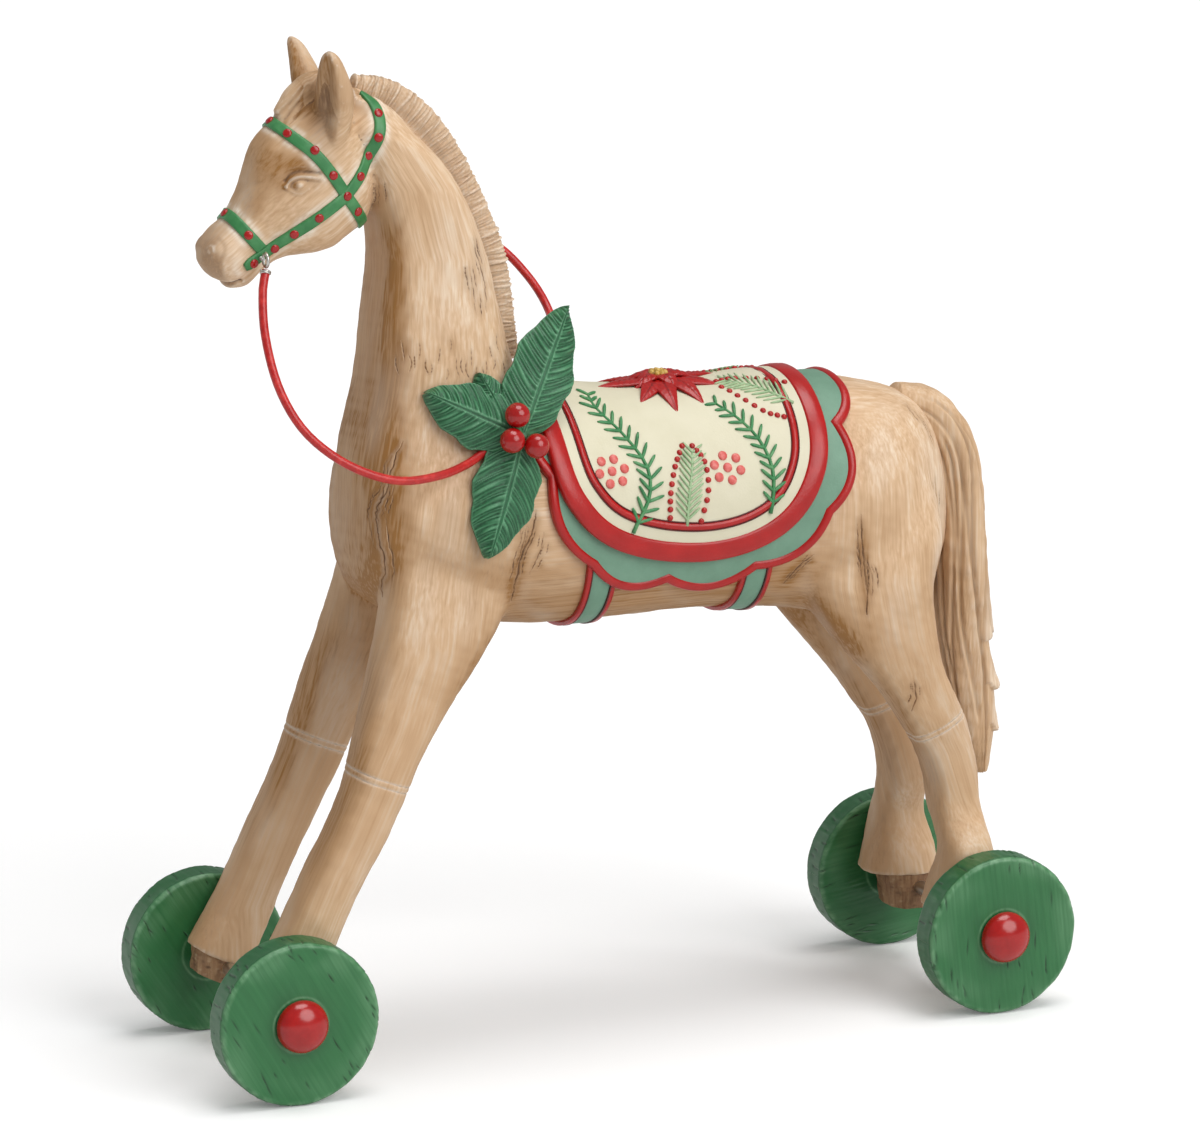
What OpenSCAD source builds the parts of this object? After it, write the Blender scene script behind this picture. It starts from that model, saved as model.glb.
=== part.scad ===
// Carved wooden horse on four wheels, dressed with saddle, bridle, rein and a holly sprig.
// Millimetres. The horse faces +X, its left side is +Y and the floor is Z = 0.

/* [Wheels] */
// Distance between the front and the rear axle
wheelbase = 322; // [300:1:344]
// Wheel radius, which also sets how high the horse stands
wheel_r = 35; // [28:0.5:42]
// Wheel thickness
wheel_t = 15.4; // [10:0.2:20]
// From the centre plane to the inner face of a wheel
wheel_inner_y = 48; // [46:0.5:54]
// Rounding of the wheel rim
rim_round = 2; // [0.5:0.1:4]
// Axle diameter
axle_d = 6; // [4:0.1:8]
// Running clearance of a wheel on its axle, on the radius
running_gap = 0.06; // [0.02:0.01:0.1]
// Clearance of a wheel to the hoof and to the hub cap
side_gap = 0.6; // [0.3:0.1:1.2]
// Hub cap diameter
cap_d = 22.4; // [16:0.2:28]
// Height of a hub cap's dome
cap_h = 8; // [5:0.1:11]
// Depth of the axle's seat in a hub cap
cap_seat = 4; // [2:0.1:4.5]

/* [Carved body] */
// Height of the barrel's centre line over the axles
barrel_z = 192; // [186:1:200]
// Width of the barrel at the girth
barrel_w = 86; // [78:1:94]
// Width of the neck at the throat
neck_w = 44; // [36:1:50]
// Width of the head at the eyes
head_w = 40; // [34:1:46]
// Thickness of the mane ridge
mane_t = 11; // [7:0.5:16]
// Width of the tail at its root
tail_w = 30; // [22:1:36]
// Ear length
ear_l = 32; // [24:1:38]
// Diameter of the dowels in the neck, the head and the tail
dowel_d = 10; // [6:0.5:13]
// Length of the dowels in the neck, the head and the tail
dowel_l = 36; // [24:1:44]
// Diameter of the dowels in the legs
leg_dowel_d = 8; // [5:0.5:10]
// Length of a leg dowel
leg_dowel_l = 30; // [20:1:40]
// Clearance of a glued dowel or pin in its hole, on the radius
glue_gap = 0.05; // [0.02:0.01:0.1]

/* [Hooves] */
// Width of a front leg where it meets its hoof
front_skirt_w = 26; // [22:0.5:28]
// Width of a rear leg where it meets its hoof
rear_skirt_w = 31; // [26:0.5:33]
// Height of a front hoof under the leg's end
front_hoof_h = 9.5; // [7:0.5:14]
// Height of a rear hoof under the leg's end
rear_hoof_h = 16; // [11:0.5:20]

/* [Saddle] */
// Thickness of the blanket
blanket_t = 2.4; // [1.5:0.1:4]
// Width of the blanket's piping
piping_w = 4; // [2.5:0.1:6]
// How far the piping stands over the blanket
piping_rise = 0.8; // [0.3:0.1:1.5]
// Thickness of the cover over the blanket
cover_t = 3; // [2:0.1:5]
// Width of the border round the cover
border_w = 8.4; // [5:0.1:11]
// How far the border stands over the cover
border_rise = 0.6; // [0.2:0.1:1.5]
// Plain margin between the border and the thin line
line_margin = 5; // [3:0.1:8]
// Width of the thin line
line_w = 2.8; // [1.5:0.1:4]
// Place of the front girth along the horse
girth_front_x = 18; // [12:1:24]
// Place of the rear girth along the horse
girth_rear_x = -54; // [-60:1:-48]
// Width of the girth webbing
girth_w = 9; // [6:0.5:14]
// Width of the edging along a girth
edging_w = 2.6; // [1.5:0.1:4]
// Thickness of a girth
girth_t = 1.6; // [1:0.1:2.4]
// Reach of a poinsettia petal from the flower's middle
petal_l = 27; // [20:0.5:32]
// Width of a poinsettia petal
petal_w = 14; // [9:0.5:18]
// Thickness of the poinsettia
petal_t = 2.2; // [1.2:0.1:3.5]
// Radius of the ring of beads in the flower's middle
pistil_r = 2.6; // [1.8:0.1:3.4]

/* [Bridle and rein] */
// Width of the straps
strap_w = 5.2; // [3.5:0.1:7]
// Thickness of the straps
strap_t = 1; // [0.6:0.1:1.6]
// Diameter of a stud
stud_d = 3.8; // [2.6:0.1:5]
// Height of a stud over the strap
stud_h = 1; // [0.5:0.1:1.6]
// Diameter of the rein
rein_d = 3.6; // [2.4:0.1:3.9]
// Diameter of the eyelet's wire
eyelet_wire_d = 1.4; // [1:0.1:2]
// Length of the eyelet's shank in the wood
eyelet_shank = 9; // [6:0.5:11]

/* [Holly] */
// Length of the two long leaves
leaf_l = 54; // [44:1:62]
// Width of the two long leaves
leaf_w = 27; // [20:0.5:32]
// Thickness of a leaf at its midrib
leaf_t = 2.6; // [1.8:0.1:3.6]
// Radius of a berry
berry_r = 5.2; // [4:0.1:5.3]
// Diameter of the pin that holds the sprig
pin_d = 2.4; // [1.6:0.1:3.2]
// Depth of the pin in the shoulder
pin_depth = 18; // [14:0.5:22]
// Angle that the sprig leans in toward the neck
sprig_lean = 16; // [8:1:20]

/* [Hidden] */

wood_colour = "#c3a57f";
hoof_colour = "#8c6a4b";
green_colour = "#3f8a58";
sage_colour = "#6fa585";
red_colour = "#b52420";
cream_colour = "#e9e3c6";
gold_colour = "#c79a3a";
steel_colour = "#a9a8a4";

axle_z = wheel_r;
axle_r = axle_d / 2;
bore_r = axle_r + running_gap;
glued_r = axle_r + glue_gap;
front_x = wheelbase / 2;
rear_x = -wheelbase / 2;
wheel_outer_y = wheel_inner_y + wheel_t;
hoof_side_y = wheel_inner_y - side_gap;
cap_base_y = wheel_outer_y + side_gap;
axle_end_y = cap_base_y + cap_seat;
// Everything carved is drawn over the axles, so it rides up with the wheels
body_lift = axle_z;
// Height of the barrel's middle over the floor
spine_z = body_lift + barrel_z;

// Gap between pieces that only lie side by side
part_gap = 0.3;
sides = 24;
torso_steps = 26;
big = 400;

// A station is [x, y, z, tilt, half depth, half width, squareness, egg].
// Depth lies in the centre plane at the tilt angle, width along Y.
function spline(list, u) =
  let (
    n = len(list) - 1,
    i = min(n - 1, max(0, floor(u))),
    t = u - i,
    p1 = list[i],
    p2 = list[i + 1],
    p0 = i > 0 ? list[i - 1] : 2 * p1 - p2,
    p3 = i + 2 <= n ? list[i + 2] : 2 * p2 - p1
  )
  p1 + 0.5 * t * (p2 - p0 + t * (2 * p0 - 5 * p1 + 4 * p2 - p3 + t * (3 * (p1 - p2) + p3 - p0)));

function signed_pow(v, e) = sign(v) * pow(abs(v), e);

function ring(s, grow, count) = [
  for (i = [0:count - 1])
    let (
      t = 360 * i / count,
      f = signed_pow(sin(t), 2 / s[6]),
      g = signed_pow(cos(t), 2 / s[6]),
      depth = (s[4] + grow) * f
    )
    [s[0] + depth * cos(s[3]), s[1] + (s[5] + grow) * g * (1 + s[7] * sin(t)), s[2] + depth * sin(s[3])]
];

function rings(stations, grow, steps, count) = [
  for (i = [0:steps]) ring(spline(stations, (len(stations) - 1) * i / steps), grow, count)
];

module skin(rows) {
  n = len(rows[0]);
  m = len(rows);
  polyhedron(
    points = [for (r = rows) each r],
    faces = concat(
      [[for (j = [0:n - 1]) j]],
      [[for (j = [n - 1:-1:0]) (m - 1) * n + j]],
      [
        for (i = [0:m - 2], j = [0:n - 1])
          let (a = i * n + j, b = i * n + (j + 1) % n)
          each [[a, a + n, b + n], [a, b + n, b]]
      ]
    )
  );
}

module loft(stations, grow, steps, count) {
  skin(rings(stations, grow, steps, count));
}

// One closed mesh from several lofts
module carve() {
  resize([0, 0, 0]) children();
}

// Everything on the far side of a plane through a point of the centre plane, at a tilt about Y
module beyond(x, z, tilt) {
  translate([x, 0, z])
    rotate([0, -tilt, 0])
      translate([0, -big / 2, -big / 2])
        cube([big, big, big]);
}

// A drawing of the side view, pushed through the horse
module side_view() {
  rotate([90, 0, 0])
    linear_extrude(height = big, center = true)
      children();
}

// Torso: from the buttocks to the breast
half_w = barrel_w / 2;
torso_stations = [
  [-160, 0, spine_z - 15, 90, 9, 6, 2, 0],
  [-156, 0, spine_z - 14, 90, 29, half_w - 31, 2.1, 0],
  [-147, 0, spine_z - 12, 90, 43.5, half_w - 20, 2.2, 0],
  [-131, 0, spine_z - 10, 90, 50.5, half_w - 7, 2.2, 0],
  [-105, 0, spine_z - 5, 90, 51, half_w, 2.2, -0.03],
  [-70, 0, spine_z - 2, 90, 48, half_w - 1, 2.2, -0.06],
  [-35, 0, spine_z - 1, 90, 46, half_w, 2.2, -0.06],
  [0, 0, spine_z - 1, 90, 46.5, half_w, 2.2, -0.06],
  [40, 0, spine_z + 3, 90, 49.5, half_w + 2, 2.2, -0.06],
  [72, 0, spine_z + 7, 90, 48, half_w + 2, 2.2, -0.06],
  [94, 0, spine_z + 7, 90, 44, half_w - 3, 2.3, 0],
  [106.5, 0, spine_z + 5, 90, 37, half_w - 9, 2.3, 0],
  [113.5, 0, spine_z + 3, 90, 26, half_w - 18, 2.2, 0],
  [116, 0, spine_z + 2, 90, 11, 12, 2, 0]
];

// Neck: from the poll down into the withers and the breast
neck_half = neck_w / 2;
neck_stations = [
  [112, 0, spine_z + 178, 12, 10, neck_half - 11, 2, 0],
  [105, 0, spine_z + 168, 10, 17, neck_half - 4, 2.3, 0],
  [94, 0, spine_z + 156, 8, 19.5, neck_half - 2, 2.7, 0],
  [84.5, 0, spine_z + 137, 4, 20.5, neck_half - 1, 3.1, 0],
  [79, 0, spine_z + 114, 0, 23, neck_half, 3.3, 0],
  [78, 0, spine_z + 90, -9, 27, neck_half + 3, 3.2, 0],
  [77.5, 0, spine_z + 66, -15, 32, neck_half + 7, 2.9, 0],
  [77.5, 0, spine_z + 40, -22, 41.5, neck_half + 13, 2.5, 0],
  [69, 0, spine_z + 8, -22, 49, neck_half + 17, 2.3, 0]
];

// Head: from the poll and the jaw to the nose
head_half = head_w / 2;
head_stations = [
  [106, 0, spine_z + 165, 79, 16, head_half - 8, 2, 0],
  [115.5, 0, spine_z + 157.5, 71, 28, head_half - 2, 2.3, 0],
  [128, 0, spine_z + 150, 68, 29, head_half, 2.3, -0.05],
  [138.4, 0, spine_z + 143.3, 66, 26.4, head_half - 1, 2.3, -0.1],
  [146.5, 0, spine_z + 135.5, 63, 20, head_half - 4, 2.4, -0.06],
  [153.5, 0, spine_z + 129, 61, 15.4, head_half - 6.5, 2.4, 0],
  [160, 0, spine_z + 122.5, 60, 13.8, head_half - 7, 2.3, 0],
  [166.5, 0, spine_z + 117.5, 60, 13.4, head_half - 6.5, 2.3, 0],
  [172, 0, spine_z + 114.6, 59, 10, head_half - 8.5, 2.2, 0],
  [175.4, 0, spine_z + 114, 58, 4.5, head_half - 14, 2, 0]
];

// Mane: a ridge along the crest, from the poll to the withers
mane_half = mane_t / 2;
mane_stations = [
  [111, 0, spine_z + 184.5, -78, 5, mane_half - 2, 2.4, 0],
  [97.5, 0, spine_z + 178.5, -60, 8.5, mane_half - 0.5, 3, 0],
  [83.5, 0, spine_z + 167.5, -46, 9, mane_half, 3, 0],
  [72, 0, spine_z + 152, -35, 9, mane_half, 3, 0],
  [61.5, 0, spine_z + 131, -24, 9, mane_half, 3, 0],
  [53, 0, spine_z + 109, -15, 9, mane_half, 3, 0],
  [48.5, 0, spine_z + 86, -9, 8, mane_half, 3, 0],
  [46, 0, spine_z + 66, -9, 8, mane_half - 0.5, 3, 0]
];

// Forelock: a tuft between the ears that falls onto the brow
forelock_stations = [
  [119, 0, spine_z + 187, 80, 5, 4.5, 2, 0],
  [128, 0, spine_z + 185, 74, 6.5, 6.5, 2.4, 0],
  [136, 0, spine_z + 180.5, 62, 5.5, 6, 2.4, 0],
  [143, 0, spine_z + 174, 50, 3, 4, 2, 0]
];

// Tail: from the croup down behind the hocks
tail_half = tail_w / 2;
tail_stations = [
  [-136, 0, spine_z + 35, -66, 6, tail_half - 8, 2.2, 0],
  [-150, 0, spine_z + 29, -50, 9.5, tail_half - 3, 2.4, 0],
  [-161, 0, spine_z + 13, -26, 11, tail_half, 2.5, 0],
  [-166, 0, spine_z - 12, -9, 11, tail_half, 2.5, 0],
  [-167.5, 0, spine_z - 42, -4, 11.3, tail_half, 2.5, 0],
  [-169.5, 0, spine_z - 70, -5, 11.3, tail_half - 3, 2.5, 0],
  [-174, 0, spine_z - 97, -8, 10, tail_half - 5.5, 2.5, 0],
  [-178, 0, spine_z - 121, -8, 6.5, tail_half - 8, 2.3, 0],
  [-180, 0, spine_z - 136, -7, 3, tail_half - 11, 2, 0]
];

// Ear: from the tip down to the root, drawn upright and set on the head by set_ear()
ear_half = 9;
ear_stations = [
  [5, 0, ear_l, 0, 1, 1.2, 2, 0],
  [3.5, 0, ear_l * 0.84, 0, 3.4, 4.2, 2, 0],
  [1, 0, ear_l * 0.55, 0, 6.5, 7.6, 2, 0],
  [0, 0, ear_l * 0.25, 0, 7.6, ear_half, 2, 0],
  [0, 0, -ear_l * 0.2, 0, 6.5, ear_half - 1, 2, 0]
];
ear_x = 125;
ear_y = head_half - 6;
ear_z = spine_z + 172;

// Legs: [drop from the hip, share of the way to the hoof, share of the spread, tilt, half depth, half w.]
front_hip = [80, half_w - 17, barrel_z + 12];
front_rows = [
  [0, -0.03, -0.3, 4, 22, 11],
  [20, -0.02, -0.15, 6, 26, 13.5],
  [38, 0.02, 0, 8, 27.5, 15.8],
  [54, 0.1, 0.25, 11, 24.5, 16.2],
  [76, 0.25, 0.65, 18, 19, 15],
  [97, 0.385, 1.05, 24, 15, 13.6],
  [117, 0.48, 1.2, 27, 13, 12.8],
  [134, 0.58, 1.25, 28, 12.2, 12.4],
  [154, 0.715, 1.12, 28, 12, 12]
];
rear_hip = [-110, half_w - 21, barrel_z + 8];
rear_rows = [
  [0, 0, 0, -4, 30, 13],
  [22, 0.03, 0.2, -8, 34, 15.5],
  [38, 0.06, 0.35, -12, 34, 17],
  [52, 0.11, 0.45, -18, 28, 17.5],
  [65, 0.2, 0.55, -24, 22.5, 16.2],
  [78, 0.32, 0.65, -27, 18.2, 14.8],
  [90, 0.44, 0.6, -29, 14.8, 13.4],
  [107, 0.63, 0.4, -28, 13, 12.4],
  [119, 0.76, 0.2, -24, 12.2, 11.8],
  [135, 0.855, 0.2, -10, 11.4, 11.4],
  [151, 0.885, 0.36, -4, 10.8, 11.2]
];
// Lower ends, given over the axle: [height, x from the axle, tilt, half depth, narrowing of the skirt]
front_ends = [
  [26, -11.6, 28, 12.6, 1.5],
  [3, 1, 26, 14, 0]
];
rear_ends = [
  [33, 4.4, -2, 11.2, 4],
  [16, 4.2, 0, 15.4, 0.8],
  [6, 4.8, 2, 17.4, 0]
];
front_foot_y = hoof_side_y - front_skirt_w / 2;
rear_foot_y = hoof_side_y - rear_skirt_w / 2;

function leg_stations(hip, rows, ends, foot_x, foot_y, skirt_w) = concat(
  [
    for (r = rows)
      [
        hip[0] + (foot_x - hip[0]) * r[1],
        hip[1] + (foot_y - hip[1]) * r[2],
        body_lift + hip[2] - r[0],
        r[3], r[4], r[5], 2.6, 0
      ]
  ],
  [
    for (e = ends)
      [foot_x + e[1], foot_y + e[4] / 2, axle_z + e[0], e[2], e[3], skirt_w / 2 - e[4], 2.6, 0]
  ]
);
front_leg = leg_stations(front_hip, front_rows, front_ends, front_x, front_foot_y, front_skirt_w);
rear_leg = leg_stations(rear_hip, rear_rows, rear_ends, rear_x, rear_foot_y, rear_skirt_w);

// Hooves: from the leg's end down to the sole, a little narrower all the way
function hoof_stations(leg, height, slim) =
  let (
    top = leg[len(leg) - 1],
    fore = [cos(top[3]), 0, sin(top[3])],
    down = [sin(top[3]), 0, -cos(top[3])]
  )
  [
    for (i = [0:2])
      let (p = [top[0], top[1], top[2]] - fore * slim + down * height * i / 2)
      [p[0], p[1], p[2], top[3], top[4] - 2 - slim - 1.6 * i, top[5] - 1.2 - 1.2 * i, 2.8, 0]
  ];
front_hoof = hoof_stations(front_leg, front_hoof_h, 0.5);
rear_hoof = hoof_stations(rear_leg, rear_hoof_h, 3.5);

// Joints between the carved blocks
neck_joint = [80, spine_z + 46, -22];
head_joint_x = 107;
front_joint = [front_leg[4][0], front_leg[4][2], front_leg[4][3]];
rear_joint = [rear_leg[5][0], rear_leg[5][2], rear_leg[5][3]];

module torso_form(grow) {
  loft(torso_stations, grow, torso_steps, sides);
}

module neck_form(grow) {
  loft(neck_stations, grow, 14, 20);
}

module head_form(grow) {
  loft(head_stations, grow, 16, 20);
}

module front_leg_form() {
  loft(front_leg, 0, 14, 16);
}

module rear_leg_form() {
  loft(rear_leg, 0, 18, 16);
}

// The lower piece of a leg, under its joint with the torso
module below(joint) {
  translate([joint[0], 0, joint[1]])
    rotate([0, -joint[2], 0])
      translate([-big / 2, -big / 2, -big])
        cube([big, big, big]);
}

module front_leg_piece() {
  intersection() {
    front_leg_form();
    below(front_joint);
  }
}

module rear_leg_piece() {
  intersection() {
    rear_leg_form();
    below(rear_joint);
  }
}

module above_neck_joint() {
  translate([neck_joint[0], 0, neck_joint[1]])
    rotate([0, -neck_joint[2], 0])
      translate([-big / 2, -big / 2, 0])
        cube([big, big, big]);
}

module both_sides() {
  children();
  mirror([0, 1, 0])
    children();
}

// The whole figure without mane, ears and tail
module figure(grow) {
  torso_form(grow);
  neck_form(grow);
  head_form(grow);
}

// Dowel places: [x, y, z, tilt from the vertical]
neck_dowel_places = [[62, 0, spine_z + 53, neck_joint[2]], [96, 0, spine_z + 39.5, neck_joint[2]]];
front_dowel_place = [front_joint[0], front_leg[4][1], front_joint[1], front_joint[2]];
rear_dowel_place = [rear_joint[0], rear_leg[5][1], rear_joint[1], rear_joint[2]];
tail_dowel_place = [-159, 0, spine_z - 12];

module dowel_at(p, d, l, gap) {
  translate([p[0], p[1], p[2]])
    rotate([0, -p[3], 0])
      cylinder(d = d + 2 * gap, h = l + 2 * gap, center = true, $fn = 32);
}

module head_dowel_at(gap) {
  translate([head_joint_x, 0, spine_z + 152])
    rotate([0, 90, 0])
      cylinder(d = dowel_d + 2 * gap, h = dowel_l + 2 * gap, center = true, $fn = 32);
}

module tail_dowel_at(gap) {
  translate(tail_dowel_place)
    rotate([0, 90, 0])
      cylinder(d = dowel_d - 2 + 2 * gap, h = dowel_l / 2 + 2 * gap, center = true, $fn = 32);
}

module torso() {
  color(wood_colour)
    difference() {
      carve()
        union() {
          difference() {
            torso_form(0);
            both_sides() {
              front_leg_piece();
              rear_leg_piece();
            }
            neck_block();
          }
          both_sides() {
            difference() {
              front_leg_form();
              below(front_joint);
            }
            difference() {
              rear_leg_form();
              below(rear_joint);
            }
          }
          difference() {
            neck_form(0);
            above_neck_joint();
          }
        }
      for (p = neck_dowel_places)
        dowel_at(p, dowel_d, dowel_l, glue_gap);
      both_sides() {
        dowel_at(front_dowel_place, leg_dowel_d, leg_dowel_l, glue_gap);
        dowel_at(rear_dowel_place, leg_dowel_d, leg_dowel_l, glue_gap);
      }
      tail_dowel_at(glue_gap);
      holly_pin_at(glue_gap);
    }
}

module neck_block() {
  difference() {
    intersection() {
      union() {
        neck_form(0);
        head_form(0);
      }
      above_neck_joint();
    }
    beyond(head_joint_x, spine_z, 0);
  }
}

module neck() {
  color(wood_colour)
    difference() {
      carve()
        neck_block();
      for (p = neck_dowel_places)
        dowel_at(p, dowel_d, dowel_l, glue_gap);
      head_dowel_at(glue_gap);
    }
}

module head() {
  color(wood_colour)
    difference() {
      carve()
        intersection() {
          union() {
            neck_form(0);
            head_form(0);
          }
          beyond(head_joint_x, spine_z, 0);
          above_neck_joint();
          translate([0, 0, spine_z + 95])
            linear_extrude(height = big)
              square(big, center = true);
        }
      head_dowel_at(glue_gap);
      both_sides()
        eyelet_shank_at(glue_gap);
    }
}

module mane() {
  color(wood_colour)
    carve()
      difference() {
        loft(mane_stations, 0, 16, 12);
        figure(0);
      }
}

module forelock() {
  color(wood_colour)
    carve()
      difference() {
        loft(forelock_stations, 0, 8, 14);
        figure(0);
        loft(mane_stations, 0, 16, 12);
      }
}

// The ear leans out and its hollow faces forward
module set_ear() {
  translate([ear_x, ear_y, ear_z])
    rotate([-16, 0, 0])
      children();
}

module ear_form() {
  set_ear()
    difference() {
      loft(ear_stations, 0, 8, 12);
      translate([5, 0, 3])
        loft(ear_stations, -2.4, 6, 10);
    }
}

module ear_left() {
  color(wood_colour)
    carve()
      difference() {
        ear_form();
        figure(0);
      }
}

module ear_right() {
  color(wood_colour)
    carve()
      difference() {
        mirror([0, 1, 0])
          ear_form();
        figure(0);
      }
}

module tail() {
  color(wood_colour)
    difference() {
      carve()
        difference() {
          loft(tail_stations, 0, 16, 14);
          torso_form(0);
        }
      tail_dowel_at(glue_gap);
    }
}

module leg_front_left() {
  color(wood_colour)
    difference() {
      carve()
        front_leg_piece();
      dowel_at(front_dowel_place, leg_dowel_d, leg_dowel_l, glue_gap);
      axle_bore(front_x, glued_r);
    }
}

module leg_front_right() {
  mirror([0, 1, 0])
    leg_front_left();
}

module leg_rear_left() {
  color(wood_colour)
    difference() {
      carve()
        rear_leg_piece();
      dowel_at(rear_dowel_place, leg_dowel_d, leg_dowel_l, glue_gap);
      axle_bore(rear_x, glued_r);
    }
}

module leg_rear_right() {
  mirror([0, 1, 0])
    leg_rear_left();
}

module hoof_of(stations, foot_x) {
  color(hoof_colour)
    difference() {
      loft(stations, 0, 3, 16);
      axle_bore(foot_x, glued_r);
    }
}

module axle_bore(x, r) {
  translate([x, 0, axle_z])
    rotate([90, 0, 0])
      cylinder(r = r, h = big, center = true, $fn = 48);
}

module hoof_front_left() {
  hoof_of(front_hoof, front_x);
}

module hoof_front_right() {
  mirror([0, 1, 0])
    hoof_front_left();
}

module hoof_rear_left() {
  hoof_of(rear_hoof, rear_x);
}

module hoof_rear_right() {
  mirror([0, 1, 0])
    hoof_rear_left();
}

module neck_dowels() {
  color(wood_colour)
    for (p = neck_dowel_places)
      dowel_at(p, dowel_d, dowel_l, 0);
}

module head_dowel() {
  color(wood_colour)
    head_dowel_at(0);
}

module leg_dowels() {
  color(wood_colour)
    both_sides() {
      dowel_at(front_dowel_place, leg_dowel_d, leg_dowel_l, 0);
      dowel_at(rear_dowel_place, leg_dowel_d, leg_dowel_l, 0);
    }
}

module tail_dowel() {
  color(wood_colour)
    tail_dowel_at(0);
}

// Saddle outlines in the side view, heights over the barrel's middle
blanket_cusps = [[43, 60], [42, 24], [24, -16], [-12, -27], [-53, -25], [-87, -3], [-96, 33], [-101, 60]];
scallop_sag = 7;
cover_points = [
  [43, 60], [40, 25], [32, 7], [18, -6], [-3, -14], [-28, -17],
  [-51, -14], [-69, -5], [-81, 10], [-87, 29], [-88, 60]
];

function arc_points(p, q, sag, n) =
  let (
    d = q - p,
    chord = norm(d),
    side = [-d[1], d[0]] / chord
  )
  [for (i = [0:n - 1]) let (t = i / n) p + d * t + side * sag * 4 * t * (1 - t)];

module blanket_outline() {
  translate([0, spine_z])
    polygon(concat(
      [
        for (i = [0:len(blanket_cusps) - 2])
          each arc_points(blanket_cusps[i], blanket_cusps[i + 1], scallop_sag, 6)
      ],
      [blanket_cusps[len(blanket_cusps) - 1], [-101, 100], [43, 100]]
    ));
}

module cover_outline() {
  translate([0, spine_z])
    polygon(concat(
      [for (i = [0:2 * len(cover_points) - 2]) spline(cover_points, i / 2)],
      [[-88, 100], [43, 100]]
    ));
}

// The space from one height over the barrel to another
module layer(from, to) {
  difference() {
    loft(torso_stations, to, torso_steps, sides);
    loft(torso_stations, from, torso_steps, sides);
    neck_form(0.2);
    both_sides() {
      front_leg_form();
      rear_leg_form();
    }
  }
}

module saddle_blanket() {
  color(sage_colour)
    carve()
      intersection() {
        layer(0, blanket_t);
        side_view()
          offset(delta = -piping_w)
            blanket_outline();
      }
}

module blanket_piping() {
  color(red_colour)
    carve()
      difference() {
        intersection() {
          layer(0, blanket_t + piping_rise);
          side_view()
            difference() {
              blanket_outline();
              offset(delta = -piping_w)
                blanket_outline();
            }
        }
        intersection() {
          layer(blanket_t, blanket_t + cover_t);
          side_view()
            cover_outline();
        }
      }
}

cover_base = blanket_t;
cover_top = blanket_t + cover_t;
line_out = border_w + line_margin;
line_in = line_out + line_w;

module cover_ring(out, in) {
  side_view()
    difference() {
      offset(delta = -out)
        cover_outline();
      offset(delta = -in)
        cover_outline();
    }
}

module saddle_cover() {
  color(cream_colour)
    carve()
      difference() {
        intersection() {
          layer(cover_base, cover_top);
          side_view()
            offset(delta = -border_w)
              cover_outline();
        }
        cover_ring(line_out, line_in);
      }
}

module cover_border() {
  color(red_colour)
    carve()
      intersection() {
        layer(cover_base, cover_top + border_rise);
        cover_ring(0, border_w);
      }
}

module cover_line() {
  color(red_colour)
    carve()
      intersection() {
        layer(cover_base, cover_top + border_rise / 2);
        cover_ring(line_out, line_in);
      }
}

// A band round the belly, under the blanket's hem
module belly_band(x, width, thick) {
  difference() {
    intersection() {
      layer(0, thick);
      translate([x - width / 2, -big / 2, 0])
        cube([width, big, spine_z]);
    }
    side_view()
      blanket_outline();
  }
}

module girth_front() {
  color(green_colour)
    carve()
      belly_band(girth_front_x, girth_w, girth_t);
}

module girth_rear() {
  color(green_colour)
    carve()
      belly_band(girth_rear_x, girth_w, girth_t);
}

module girth_edging() {
  color(red_colour)
    carve()
      for (x = [girth_front_x, girth_rear_x])
        difference() {
          belly_band(x, girth_w + 2 * edging_w, girth_t);
          translate([x - girth_w / 2, -big / 2, 0])
            cube([girth_w, big, big]);
        }
}

// Poinsettia on the saddle's top, draped over the cover
flower_x = -24;
petals = 7;
bead_r = pistil_r * 0.55;

module petal_outline(l, w) {
  polygon([
    for (i = [0:11])
      let (t = i / 12, out = t < 0.5 ? 2 * t : 2 - 2 * t)
      [l * out, w / 2 * sin(180 * out) * (t < 0.5 ? 1 : -1)]
  ]);
}

module poinsettia_petals() {
  color(red_colour)
    carve()
      difference() {
        intersection() {
          layer(cover_top, cover_top + petal_t);
          translate([flower_x, 0, spine_z])
            linear_extrude(height = big)
              for (i = [0:petals - 1])
                rotate(360 * i / petals)
                  petal_outline(petal_l, petal_w);
        }
        translate([flower_x, 0, spine_z])
          cylinder(r = pistil_r * 2, h = big, $fn = 24);
      }
}

function cover_height(x) =
  let (s = spline(torso_stations, station_of(x)))
  s[2] + s[4] + cover_top;
// Place along the torso's stations of a given X
function station_of(x) =
  let (i = max([for (k = [0:len(torso_stations) - 2]) torso_stations[k][0] <= x ? k : 0]))
  i + (x - torso_stations[i][0]) / (torso_stations[i + 1][0] - torso_stations[i][0]);

module poinsettia_centre() {
  color(gold_colour)
    for (i = [0:4])
      translate([flower_x, 0, cover_height(flower_x) + bead_r])
        rotate(72 * i)
          translate([pistil_r, 0, 0])
            sphere(r = bead_r, $fn = 16);
}

// Bridle straps, drawn in the side view with heights over the barrel's middle
nose_line = [[171, 144], [165, 134], [160.5, 128], [155.5, 122.3]];
brow_line = [
  [156, 178], [148, 173], [141, 167], [134, 161], [127, 152], [121, 143], [115.5, 136], [110, 129]
];
cheek_line = [[163, 115.5], [157, 119], [150.5, 123], [142.5, 128.5], [133, 135], [121, 143]];
crown_line = [[121, 143], [115, 150], [110, 158.5], [106, 167], [105.5, 173], [105.8, 175.5]];

module strap_band(line, width) {
  translate([0, spine_z])
    for (i = [0:len(line) - 2])
      hull() {
        translate(line[i])
          circle(d = width, $fn = 12);
        translate(line[i + 1])
          circle(d = width, $fn = 12);
      }
}

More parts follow.
